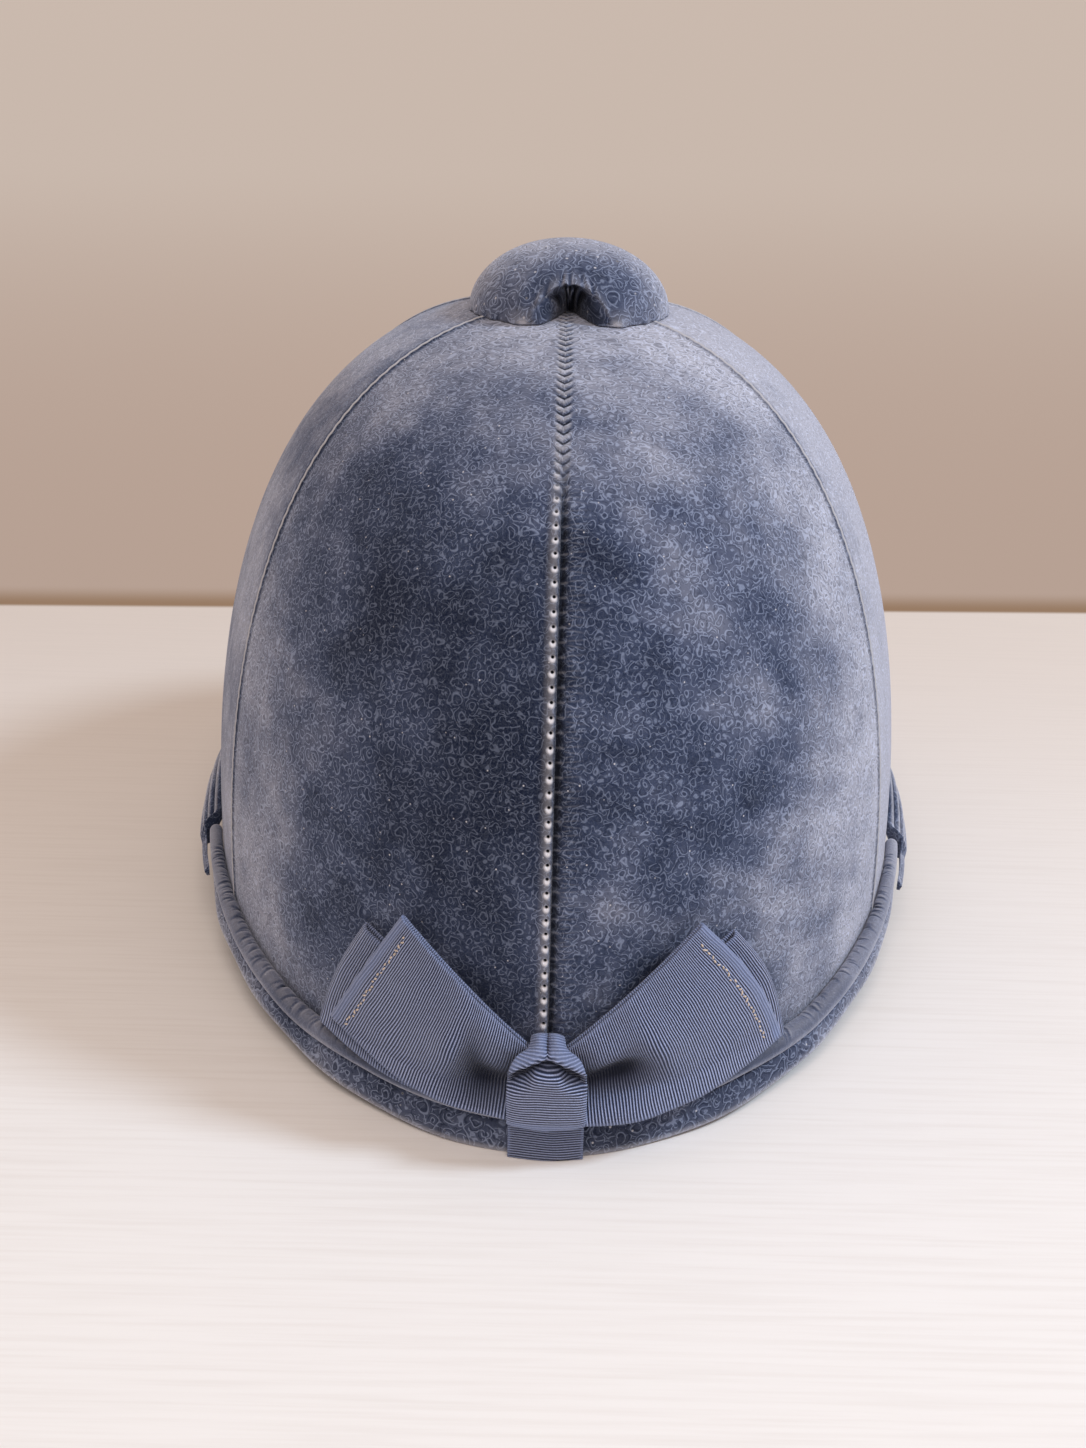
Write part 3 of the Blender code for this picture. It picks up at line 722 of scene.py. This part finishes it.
# piping
PIPING_RADIUS = 2.5 * MM
END_RADIUS = 1.8 * MM
SLIM_FROM = 42.0
PIPING_END = 77.0
PRESSED_GAP = 0.08 * MM
BELOW_RIM = 1.6 * MM
PIPING_STATIONS = 1000
BOW_RISE = 2.4 * MM
PIPING_RING = 24
PIPING_TIP = 2.2 * MM
GATHERS = 290
GATHER_MARGIN = 9 * MM
GATHER_DEPTH = 0.26


def swept(centre, outward, radius, turn):
    """Points of a tube whose rings start on its outward side and turn over its top."""
    along = np.gradient(centre, axis=0)
    along /= np.linalg.norm(along, axis=1, keepdims=True)
    up = np.cross(outward, along)
    up /= np.linalg.norm(up, axis=1, keepdims=True)
    up *= np.sign(up[:, 2:3])
    out = np.cross(along, up)
    out *= np.sign(np.sum(out * outward, 1, keepdims=True))
    arms = out[:, None] * np.cos(turn)[..., None] + up[:, None] * np.sin(turn)[..., None]
    return centre[:, None] + arms * radius[..., None]


def behind_bow(azimuth):
    """How much higher the cord and the brim's top run behind the bow."""
    return BOW_RISE * (1 - ramp(np.abs(azimuth), 20.0, 36.0))


def make_piping():
    """The velvet-covered cord with small gathers across it."""
    azimuth = np.radians(np.linspace(-PIPING_END, PIPING_END, PIPING_STATIONS))
    slim = ramp(np.abs(azimuth), SLIM_FROM, PIPING_END)
    radius = blend(PIPING_RADIUS, END_RADIUS, slim)
    height = rim_height(azimuth) - BELOW_RIM + behind_bow(azimuth)
    centre = crown_point(azimuth, height, radius + PRESSED_GAP)
    outward = np.stack((np.sin(azimuth), -np.cos(azimuth), 0 * azimuth), -1)
    along = arc_length(centre[:, None], 0)[:, 0]
    to_end = np.minimum(along, along[-1] - along)
    close = np.clip(to_end / PIPING_TIP, 0.0, 1.0)
    tube = radius * np.sqrt(np.clip(1 - (1 - close) ** 2, 0.02, 1.0))
    turn = np.linspace(0.0, TURN, PIPING_RING, endpoint=False)[None]
    dice = np.random.default_rng(11)
    relief = np.zeros((PIPING_STATIONS, PIPING_RING))
    shade = 0 * relief
    # each gather: a dent with painted shade in it and a painted highlight beside it
    for _ in range(GATHERS):
        place = dice.uniform(GATHER_MARGIN, along[-1] - GATHER_MARGIN)
        middle = dice.uniform(1.5, 2.7)
        width = dice.uniform(0.22, 0.42) * MM
        lean = dice.uniform(-0.5, 1.0) * MM
        span = dice.uniform(0.4, 0.9)
        depth = dice.uniform(0.08, GATHER_DEPTH) * MM
        shift = (along[:, None] - place - lean * (turn - middle)) / width
        mark = np.exp(-shift ** 2) * bump(turn, middle, span)
        relief -= depth * mark
        shade -= 0.62 * depth / (GATHER_DEPTH * MM) * mark
        shade += 0.20 * np.exp(-(shift - 1.7) ** 2) * bump(turn, middle, span)
    # a raised pale line low on the outer side, a painted highlight over the top, paler ends, and
    # painted shade on the inner and lower sides
    edge = bump(turn, TURN - 0.75, 0.16)
    relief += 0.12 * MM * edge
    shade += 0.22 * edge + 0.14 * bump(turn, 1.2, 0.7) + 0.10 * slim[:, None]
    shade -= 0.55 * bump(turn, 3.1, 0.5) + 0.35 * bump(turn, 5.0, 0.5)
    points = swept(centre, outward, tube[:, None] + relief * close[:, None], turn)
    item = grid_mesh("piping_velvet", points, velvet_piping, shade, closed=True, flip=True)
    finish_piece(item, "piping")


make_piping()

# back brim
BRIM_END = 75.0
TAPER_FROM = 58.0
BRIM_END_OUT = 3.3 * MM
BRIM_END_DROP = 5.6 * MM
BRIM_END_THICKNESS = 1.6 * MM
BRIM_THICKNESS = 2.8 * MM
TOP_OUT = 3.5 * MM
BACK_OUT = 5.65 * MM
SIDE_OUT = 3.6 * MM
SIDE_DROP = 8.0 * MM
BACK_DROP = 10.4 * MM
EDGE_ROUND = 0.8 * MM
BRIM_SPREAD = 0.6
BRIM_WAVE = 0.22 * MM
BRIM_WAVES = 23
BRIM_STATIONS = 620


def rounded(outline, times):
    """Cut the corners of closed outlines, given as a stack of sections of points."""
    for _ in range(times):
        after = np.roll(outline, -1, 1)
        pairs = np.stack((blend(outline, after, 0.2), blend(outline, after, 0.8)), 2)
        outline = pairs.reshape(outline.shape[0], -1, outline.shape[2])
    return outline


def make_brim():
    """The narrow velvet brim round the back and sides, wavy along its edge."""
    azimuth = np.radians(np.linspace(-BRIM_END, BRIM_END, BRIM_STATIONS))
    rim = rim_height(azimuth)
    back = np.maximum(np.cos(azimuth), 0.0) ** BRIM_SPREAD
    taper = ramp(np.abs(azimuth), TAPER_FROM, BRIM_END)
    edge_out = blend(blend(SIDE_OUT, BACK_OUT, back), BRIM_END_OUT, taper)
    drop = blend(blend(SIDE_DROP, BACK_DROP, back), BRIM_END_DROP, taper)
    thickness = blend(BRIM_THICKNESS, BRIM_END_THICKNESS, taper)
    top_out = blend(TOP_OUT, BRIM_END_OUT, taper)
    edge_out = edge_out + BRIM_WAVE * np.sin(azimuth * BRIM_WAVES) * (1 - taper)
    edge = rim - drop
    top = rim - BELOW_RIM - PIPING_RADIUS - PIECE_GAP + behind_bow(azimuth)
    corner = np.minimum(EDGE_ROUND, (top - edge) / 2)
    outs = (top_out, edge_out, edge_out - corner, edge_out - thickness + corner / 2,
            edge_out - thickness, top_out - thickness)
    heights = (top, edge + corner, edge, edge, edge + corner, top)
    outline = rounded(np.stack((np.stack(outs, 1), np.stack(heights, 1)), 2), 2)
    low = np.maximum(outline[:, :, 1], 0.0)
    points = crown_point(azimuth[:, None], low, outline[:, :, 0])
    # painted highlight along the bottom of the outer edge
    edge_highlight = bump(outline[:, :, 1] - edge[:, None], 0.6 * MM, 0.9 * MM)
    shade = 0.34 * edge_highlight * (outline[:, :, 0] > (edge_out - thickness / 2)[:, None])
    item = grid_mesh("back_brim_velvet", points, velvet_trim, shade, closed=True)
    finish_piece(item, "back_brim")


make_brim()

# peak
PEAK_END = 67.5
PEAK_THICKNESS = 4.0 * MM
UNDER_LOW = 0.3
PEAK_OVERHANG = 52.0 * MM
PEAK_NARROWING = 1.8
PEAK_DROOP = 1.35
ROOT_FRONT = 36.0 * MM
ROOT_SIDE = 40.0 * MM
ROOT_LEVEL = 92.0
EDGE_END = 18.6 * MM
EDGE_SUNK = 0.6 * MM
EDGE_RISE = 1.6
EDGE_THICKNESS = 2.6 * MM
FOOT_INSET = 0.9 * MM
FOOT_WIDTH = 3.2 * MM
END_OVERHANG = 6.0 * MM
END_HEIGHT = 21.0 * MM
END_EDGE = 1.2 * MM
END_INSET = 0.5 * MM
WRAP_OUT = 4.65 * MM
WRAP_END = 77.1
WRAP_RUN = 1.1
LOW_CLIMB = 0.12
PEAK_STEP = (75.6, 78.2)
PLEATS = 4
PLEAT_DEPTH = 0.8 * MM
PLEAT_FULL = 92.0
PLEAT_END = 116.0
EDGE_ROLL = 0.965
EDGE_GROOVE = 0.915
EDGE_ROLL_RISE = 0.5 * MM
PEAK_CROWDING = 1.35
PEAK_STATIONS = 420
PEAK_ROWS = 72
UNDER_ROWS = 18


def peak_line(share, fullness, start, reach, root, edge):
    hang = (1 - fullness) ** 2
    along = blend(share, np.sin(share * math.pi / 2), hang)
    fall = blend(share ** PEAK_DROOP, share, hang)
    return blend(start, reach, along), blend(root, edge, fall)


def make_peak():
    """The velvet visor with a rolled edge, its ends hanging in pleats."""
    turn = np.linspace(-1.0, 1.0, PEAK_STATIONS)
    turn = (np.sign(turn) * (1 - (1 - np.abs(turn)) ** PEAK_CROWDING))[:, None]
    azimuth = math.pi + turn * (math.pi - math.radians(PEAK_END))
    fullness = np.maximum(-np.cos(azimuth), 0.0) ** PEAK_NARROWING
    from_back = math.pi - np.abs(azimuth - math.pi)
    wrap = 1 - ramp(from_back, WRAP_END, WRAP_END + WRAP_RUN)
    step = blend(LOW_CLIMB, 1.0, ramp(from_back, *PEAK_STEP))
    climb = ramp(from_back, PEAK_END, ROOT_LEVEL) * step
    start = blend(PRESSED_GAP, WRAP_OUT, wrap)
    tip = blend(END_OVERHANG, PEAK_OVERHANG, fullness)
    root = blend(blend(END_HEIGHT, ROOT_SIDE, climb), ROOT_FRONT, fullness)
    foot = np.maximum(EDGE_END * (1 - fullness) ** EDGE_RISE - EDGE_SUNK, 0.0)
    edge = foot + blend(END_EDGE, EDGE_THICKNESS, climb)
    tuck = PLEAT_DEPTH * (1 - ramp(from_back, PLEAT_FULL, PLEAT_END)) * step
    share = np.linspace(0.0, 1.0, PEAK_ROWS + 1)[None]
    out, height = peak_line(share, fullness, start, tip, root, edge)
    wave = (1 - np.cos(TURN * PLEATS * share)) / 2
    out = out + tuck * wave ** 0.6
    # painted highlights on the pleats' crests and painted shade between them
    shade = (0.30 * bump(wave, 1.0, 0.25) - 0.45 * bump(wave, 0.0, 0.3)) * tuck / PLEAT_DEPTH
    foot_out = tip - blend(END_INSET, FOOT_INSET, fullness)
    foot_in = np.maximum(foot_out - FOOT_WIDTH, start)
    under = np.maximum(root - PEAK_THICKNESS, blend(foot, root, UNDER_LOW))
    back = np.linspace(1.0, 0.0, UNDER_ROWS + 1)[None]
    low_out, low_height = peak_line(back, fullness, start, foot_in, under, foot)
    # a painted highlight on the rolled edge and painted shade in the groove behind it
    roll = bump(share, EDGE_ROLL, 0.02)
    height = height + EDGE_ROLL_RISE * fullness * (roll - bump(share, EDGE_GROOVE, 0.014))
    shade = shade + fullness * (0.12 * roll - 0.4 * bump(share, EDGE_GROOVE, 0.01))
    outs = np.concatenate((out, foot_out, low_out), 1)
    heights = np.maximum(np.concatenate((height, foot, low_height), 1), 0.0)
    shades = np.concatenate((shade, 0 * foot, 0 * low_out), 1)
    points = crown_point(azimuth, heights, outs)
    item = grid_mesh("peak_velvet", points, velvet_peak, shades, closed=True)
    finish_piece(item, "peak")


make_peak()

# bow
RIBBON_THICKNESS = 0.7 * MM
BOW_CENTRE = -1.15 * MM
BOW_REST_OUT = 5.7 * MM
BOW_BRIDGE = 9.0 * MM
BOW_CROWN_OUT = 0.4 * MM
FLAT_CELLS = 84
FOLD_CELLS = 14
LOOP_ROWS = 46
STITCHES = 26
STITCHED_INSIDE = 0.052
STITCH_RADIUS = 0.25 * MM
STITCH_RISE = 0.16 * MM
STITCH_LIFT = 0.08 * MM
STITCH_STEPS = 6
STITCH_SIDES = 6
LOOP_SAG = 3.3
FLAT_HIGH = 1.5
DENT_BELOW = 0.45

# millimetres: x and z of each corner of the folded strip, bulge of its end, lifts and puff
LOOPS = (
    ("bow_loop_back_left", (-43.4, 49.4), (-55.6, 19.0), (-2.6, 26.5), (-2.6, 13.6),
     1.0, 0.6, 2.9, 0.0),
    ("bow_loop_back_right", (41.1, 50.6), (55.4, 18.4), (0.3, 26.5), (0.3, 13.6),
     2.0, 0.6, 2.9, 0.0),
    ("bow_loop_front_left", (-34.0, 57.4), (-52.4, 22.6), (-2.6, 28.5), (-2.6, 13.1),
     0.4, 4.1, 5.5, 2.9),
    ("bow_loop_front_right", (32.5, 57.5), (54.2, 20.0), (0.3, 28.5), (0.3, 13.1),
     2.0, 4.1, 5.5, 2.9),
)

# along the loop and across it, half length, half width, height in millimetres, painted shade
DENTS = {
    "bow_loop_front_left": (
        (0.30, 0.31, 0.15, 0.23, -5.8, -1.1),
        (0.40, 0.56, 0.08, 0.16, -1.4, -0.45),
        (0.13, 0.55, 0.10, 0.30, -1.6, -0.9),
        (0.50, 0.42, 0.09, 0.22, 1.6, 0.0),
        (0.36, 0.86, 0.16, 0.10, 0.9, 0.0),
    ),
    "bow_loop_front_right": (
        (0.32, 0.42, 0.17, 0.17, -5.8, -1.2),
        (0.12, 0.52, 0.10, 0.28, -1.6, -0.9),
        (0.53, 0.48, 0.09, 0.20, 1.5, 0.0),
        (0.28, 0.10, 0.18, 0.09, 1.0, 0.0),
    ),
}


def bow_rest(x, z):
    foot = back_point(x, z, 0.0)
    above = z - rim_height(np.arctan2(x, CROWN_Y - foot[..., 1]))
    bridge = np.clip(1 - above / BOW_BRIDGE, 0.0, 1.0)
    return blend(BOW_CROWN_OUT, BOW_REST_OUT, bridge)


def loop_surface(row, reach, layer, across):
    """Points of a loop: reach from root to end, layer 0 under and 1 over, across its width."""
    name, end_top, end_bottom, root_top, root_bottom, bulge, low, high, puff = row
    side = math.copysign(1.0, end_top[0])
    arch = np.sin(math.pi * np.minimum(reach, 1.0))
    bow_out = side * bulge * np.sin(math.pi * across)
    end_x = blend(end_bottom[0], end_top[0], across) + bow_out
    end_z = blend(end_bottom[1], end_top[1], across) + np.abs(bow_out) / 2
    root_x = blend(root_bottom[0], root_top[0], across)
    root_z = blend(root_bottom[1], root_top[1], across)
    x = blend(root_x, end_x, reach) * MM
    z = (blend(root_z, end_z, reach) - LOOP_SAG * arch * (1 - across)) * MM
    if name not in DENTS:
        high = blend(FLAT_HIGH, high, smooth(reach, 0.35, 0.8))
    lift = blend(low, high + puff * arch * np.sin(math.pi * across), layer)
    for place, level, long, wide, height, _ in DENTS.get(name, ()):
        dent = bump(reach, place, long) * bump(across, level, wide)
        lift = lift + blend(DENT_BELOW, 1.0, layer) * height * dent
    if name in DENTS:
        lift = lift + layer * 0.18 * np.sin(reach * 21 + across * 4) * arch
    return back_point(x, z, bow_rest(x, z) + lift * MM)


def ribbon_piece(node, points, material, shade, cloth, at):
    """A strip of ribbon in place of a node, with the side seen at one point turned outwards."""
    flip = grid_normals(points)[at][1] > 0
    item = grid_mesh(node + "_ribbon", points, material, shade, cloth, flip=flip)
    thicken(item, RIBBON_THICKNESS, 0.0)
    finish_piece(item, node)
    return item


def make_loop(row):
    """A ribbon loop: out from the knot, round its fold and back under itself."""
    name = row[0]
    cells = 2 * FLAT_CELLS + FOLD_CELLS
    step = np.arange(cells + 1)[:, None] * 1.0
    turn = np.clip((step - FLAT_CELLS) / FOLD_CELLS, 0.0, 1.0) * math.pi
    reach = np.minimum(step, cells - step) / FLAT_CELLS
    folded = (step > FLAT_CELLS) & (step < FLAT_CELLS + FOLD_CELLS)
    reach = np.where(folded, 1 + 0.015 * np.sin(turn), reach)
    layer = (1 + np.cos(turn)) / 2
    across = np.linspace(0.0, 1.0, LOOP_ROWS + 1)[None]
    points = loop_surface(row, reach, layer, across)
    along = arc_length(points, 0) / MM
    wide = arc_length(points, 1) / MM
    middle = along[:, LOOP_ROWS // 2:LOOP_ROWS // 2 + 1]
    from_fold = np.abs(middle - middle[FLAT_CELLS + FOLD_CELLS // 2])
    cloth = np.stack((from_fold + 0 * wide, wide), -1)
    shade = 0.45 * smooth(np.minimum(wide, wide[:, -1:] - wide), 0.9, 0.5)
    if name in DENTS:
        hem = smooth(from_fold, 3.0, 2.5)
        shade = blend(shade, 0.62, hem) + 0.35 * smooth(from_fold, 0.9, 0.3)
    # painted shade in the dents
    for place, level, long, deep, _, shade_tone in DENTS.get(name, ()):
        shade = shade + shade_tone * layer * bump(reach, place, long) * bump(across, level, deep)
    item = ribbon_piece(name, points, ribbon_bow if "front" in name else ribbon_back, shade, cloth,
                        (FLAT_CELLS // 2, LOOP_ROWS // 2))
    return item, float(middle[-1, 0]) * MM, panel_area(points)


def topstitch(row):
    """Beige stitches a little inside the end of a front loop, each a short arched strand."""
    side = row[0].split("_")[-1]
    dice = np.random.default_rng(5 if side == "left" else 6)
    across = np.linspace(0.05, 0.94, STITCHES + 1)
    place = 1 - STITCHED_INSIDE + dice.uniform(-0.009, 0.009, (2, STITCHES))
    first = loop_surface(row, place[0], 1.0, across[:-1] + dice.uniform(0.0, 0.008, STITCHES))
    last = loop_surface(row, place[1], 1.0, across[1:] - dice.uniform(0.004, 0.016, STITCHES))
    one = loop_surface(row, place[0] - 0.03, 1.0, across[:-1])
    normals = np.cross(last - first, one - first)
    normals /= np.linalg.norm(normals, axis=1, keepdims=True)
    normals *= np.where(normals[:, 1:2] > 0, -1.0, 1.0)
    lift = normals * (RIBBON_THICKNESS / 2 + STITCH_LIFT)
    turn = np.linspace(0.0, TURN, STITCH_SIDES, endpoint=False)
    verts, faces = [], []
    for start, end, normal in zip(first + lift, last + lift, normals):
        along = (end - start) / np.linalg.norm(end - start)
        sideways = np.cross(along, normal)
        base = len(verts)
        for share in np.linspace(0.0, 1.0, STITCH_STEPS + 1):
            arch = math.sin(math.pi * share)
            middle = blend(start, end, share) + normal * (STITCH_RISE * arch - STITCH_RADIUS * 0.4)
            thick = STITCH_RADIUS * (0.55 + 0.45 * arch)
            for phi in turn:
                arm = sideways * math.cos(phi) + normal * math.sin(phi)
                verts.append((middle + arm * thick).tolist())
        for i, j in np.ndindex(STITCH_STEPS, STITCH_SIDES):
            a, b = (base + i * STITCH_SIDES + k % STITCH_SIDES for k in (j, j + 1))
            faces.append((a, a + STITCH_SIDES, b + STITCH_SIDES, b))
        faces.append(tuple(range(base, base + STITCH_SIDES)))
        faces.append(tuple(range(len(verts) - STITCH_SIDES, len(verts)))[::-1])
    item = place_mesh("topstitch_" + side, verts, faces, thread_beige)
    item.data.shade_smooth()
    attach(item, "root")
    return item


for row in LOOPS:
    loop, long, area = make_loop(row)
    threads = [topstitch(row)] if row[0] in DENTS else []

# knot and tail
# height, distance out from the crown, half width, all in millimetres
KNOT_PROFILE = np.array((
    (30.4, 1.3, 3.3), (32.6, 2.2, 3.5), (33.8, 4.4, 3.6), (32.6, 7.0, 4.0), (30.8, 9.0, 7.0),
    (27.6, 10.2, 8.9), (23.0, 10.6, 9.0), (18.0, 10.6, 9.0), (14.2, 10.4, 9.0), (12.3, 9.8, 8.9),
    (11.7, 8.7, 8.8),
))
TAIL_PROFILE = np.array(((10.6, 6.6), (8.0, 6.2), (5.0, 6.2), (2.5, 6.5), (0.3, 6.7)))
TAIL_HALF_WIDTH = 8.8 * MM
KNOT_ROWS = 150
KNOT_COLUMNS = 60
TAIL_ROWS = 60
TAIL_COLUMNS = 40


def profile_curve(profile, count):
    """Resample a profile smoothly, evenly along its length."""
    line = profile.copy()
    for _ in range(3):
        cut = np.stack((blend(line[:-1], line[1:], 0.25), blend(line[:-1], line[1:], 0.75)), 1)
        line = np.concatenate((line[:1], cut.reshape(-1, line.shape[1]), line[-1:]))
    steps = np.r_[0, np.cumsum(np.linalg.norm(np.diff(line[:, :2], axis=0), axis=1))]
    want = np.linspace(0, steps[-1], count)
    return np.stack([np.interp(want, steps, line[:, i]) for i in range(line.shape[1])], 1), want


def make_knot():
    """The band round the middle of the bow, pinched into two ears above it."""
    line, down = profile_curve(KNOT_PROFILE, KNOT_ROWS)
    height, out, half = np.split(line, 3, 1)
    side = np.linspace(-1.0, 1.0, KNOT_COLUMNS + 1)[None]
    share = np.linspace(0.0, 1.0, KNOT_ROWS)[:, None]
    wide = np.abs(side)
    arch = 0.385 + 0.13 * wide ** 1.5
    below = share - arch
    crease = 0.85 * smooth(below, 0.17, 0.0) * (below > 0) * smooth(wide, 0.25, 0.55)
    crease = np.minimum(bump(below, 0.0, 0.052) + crease, 1.0)
    roll = bump(below, -0.075, 0.055)
    ears = bump(share, 0.17, 0.15) * bump(wide, 0.52, 0.34)
    split = bump(side, 0.0, 0.12) * (1 - smooth(share, 0.24, 0.34))
    deep = crease * (1 - 0.55 * smooth(wide, 0.8, 1.0))
    panel = bump(below, 0.13, 0.09) * smooth(wide, 0.75, 0.2)
    lift = 1.0 * ears - 1.7 * split - 2.3 * deep + 0.9 * roll + 0.5 * panel
    wrinkle = np.sin(side * 22 + 3 * np.sin(share * 20)) * bump(below, -0.06, 0.06)
    lift = lift - 0.5 * wide ** 8 + 0.16 * wrinkle
    x = BOW_CENTRE + side * half * MM
    notch = 0.9 * (1 - wide) * smooth(share, 0.9, 1.0)
    top = 1 - smooth(share, 0.24, 0.36)
    z = (height - notch + top * (0.8 * ears - 1.3 * split - 1.1 * wide ** 4)) * MM
    points = back_point(x, z, (out + lift) * MM)
    across = side * half + 0 * share
    cloth = np.stack((down[:, None] + 0 * side + 0.25 * notch, across), -1)
    # painted shade in the crease and in the split between the ears, a painted highlight on the
    # roll, and plain, paler ribbon above the crease, along the edges and at the bottom
    edge = (1 - wide) * half
    plain = 0.62 * (1 - smooth(below, -0.05, 0.03)) + 0.7 * smooth(share, 0.90, 0.93)
    plain = plain + 0.35 * smooth(edge, 0.8, 0.4) * smooth(share, 0.5, 0.6) + 0.16 * roll
    shade = np.where(deep > 0.12, -0.95 * deep, plain * (1 - deep / 0.12)) - 0.9 * split
    item = ribbon_piece("bow_knot", points, ribbon_knot, shade, cloth,
                        (KNOT_ROWS * 2 // 3, KNOT_COLUMNS // 2))
    long = float(arc_length(points, 0)[-1].mean())
    wide = panel_area(points) / long


def make_tail():
    """The flat ribbon end below the knot."""
    line, down = profile_curve(TAIL_PROFILE, TAIL_ROWS)
    height, out = np.split(line, 2, 1)
    side = np.linspace(-1.0, 1.0, TAIL_COLUMNS + 1)[None]
    share = np.linspace(0.0, 1.0, TAIL_ROWS)[:, None]
    x = BOW_CENTRE + side * TAIL_HALF_WIDTH + 0 * share
    lift = 0.15 * np.cos(side * 3.0) * share
    points = back_point(x, height * MM + 0 * side, (out + lift) * MM)
    cloth = np.stack((down[:, None] + 0 * side, side * TAIL_HALF_WIDTH / MM + 0 * share), -1)
    edge = (1 - np.abs(side)) * TAIL_HALF_WIDTH / MM
    # plain, paler edges, and painted shade at the top, under the knot
    shade = 0.6 * smooth(edge, 0.9, 0.5) + 0 * share - 0.5 * bump(share, 0.0, 0.12)
    item = ribbon_piece("tail_tab", points, ribbon_tail, shade, cloth,
                        (TAIL_ROWS // 2, TAIL_COLUMNS // 2))


make_knot()
make_tail()

# stage, light and camera
# a wall painted on the floor behind the cap: it glows as painted light, paler further back, with a
# darker brown band at its foot
WALL_Y = 0.1855
WALL_SLOPE = 0.0366
WALL_FOOT = (0.30, 0.19, 0.12)
WALL_LOW = (0.46, 0.345, 0.285)
WALL_HIGH = (0.56, 0.462, 0.40)
WALL_EDGE = 0.002
FOOT_DEPTH = 0.024
WALL_TOP = 1.6
# the floor is darker towards the back: painted light falloff
FLOOR_DEPTHS = (-0.22, 0.19)
FLOOR_NEAR = (0.86, 0.85, 0.85)
FLOOR_FAR = (0.70, 0.64, 0.60)
FLOOR_STREAK = (0.62, 0.57, 0.54)
STREAKS = (0.35, 0.8, 0.0, 0.22)


def stage_material():
    """Pale wood, darker towards the back, that turns into a painted wall glowing as painted light
    behind the cap.
    """
    n = Nodes("stage_pale")
    where = n.where(1.0)
    side, depth, _ = n.axes(where)
    far = n.minus(depth, n.times(side, WALL_SLOPE))
    streaks = n.noise(n.vector("MULTIPLY", where, (18.0, 620.0, 1.0)), 1.0, 3.0, rough=0.6)
    # painted light falloff: paler near, darker far
    near = n.mix(n.step(far, *FLOOR_DEPTHS), FLOOR_NEAR, FLOOR_FAR)
    wood = n.mix(n.step(streaks, *STREAKS), near, FLOOR_STREAK)
    wall = n.step(far, WALL_Y - WALL_EDGE, WALL_Y + WALL_EDGE)
    rise = n.mix(n.step(far, WALL_Y, WALL_TOP), WALL_LOW, WALL_HIGH)
    foot = n.mix(n.step(far, WALL_Y + WALL_EDGE, WALL_Y + FOOT_DEPTH), WALL_FOOT, rise)
    # painted light: the wall region glows
    n.put(n.shader.inputs["Emission Color"], foot)
    n.put(n.shader.inputs["Emission Strength"], wall)
    return n.finish(n.mix(wall, wood, (0.0, 0.0, 0.0)), 0.75, 0.1)


def add_light(name, position, target, size, energy, colour):
    data = bpy.data.lights.new(name, "AREA")
    data.shape = "DISK"
    data.size = size
    data.energy = energy
    data.color = colour
    light = place(name, data)
    light.location = position
    aim = Vector(target) - Vector(position)
    light.rotation_euler = aim.to_track_quat("-Z", "Y").to_euler()


def make_lights():
    add_light("key", (1.5, -0.20, 1.6), (0.0, -0.05, 0.05), 0.42, 26.0, (0.70, 0.85, 1.0))
    add_light("fill", (0.0, -1.2, 2.0), (0.0, 0.0, 0.05), 1.2, 18.0, (1.0, 0.88, 0.80))
    world = bpy.data.worlds.new("studio")
    world.use_nodes = True
    ground = world.node_tree.nodes["Background"].inputs
    ground["Color"].default_value = (1.0, 0.83, 0.72, 1.0)
    ground["Strength"].default_value = 0.54
    bpy.context.scene.world = world


def make_camera():
    data = bpy.data.cameras.new("camera")
    data.sensor_width = SENSOR_WIDTH
    data.lens = FOCAL_PIXELS / PHOTO_HEIGHT * SENSOR_WIDTH
    camera = place("camera", data)
    forward = Vector((0.0, math.cos(CAMERA_DOWN), -math.sin(CAMERA_DOWN)))
    up = Vector((0.0, math.sin(CAMERA_DOWN), math.cos(CAMERA_DOWN)))
    right = Vector((1.0, 0.0, 0.0))
    across = right * math.cos(CAMERA_ROLL) + up * math.sin(CAMERA_ROLL)
    above = up * math.cos(CAMERA_ROLL) - right * math.sin(CAMERA_ROLL)
    turn = Matrix((across, above, -forward)).transposed().to_4x4()
    camera.matrix_world = Matrix.Translation(CAMERA_PLACE) @ turn
    bpy.context.scene.camera = camera


corners = ((-64, -8, 0), (64, -8, 0), (64, 80, 0), (-64, 80, 0))
place_mesh("floor", corners, ((0, 1, 2, 3),), stage_material())
make_lights()
make_camera()
bpy.context.scene.view_settings.view_transform = "Standard"
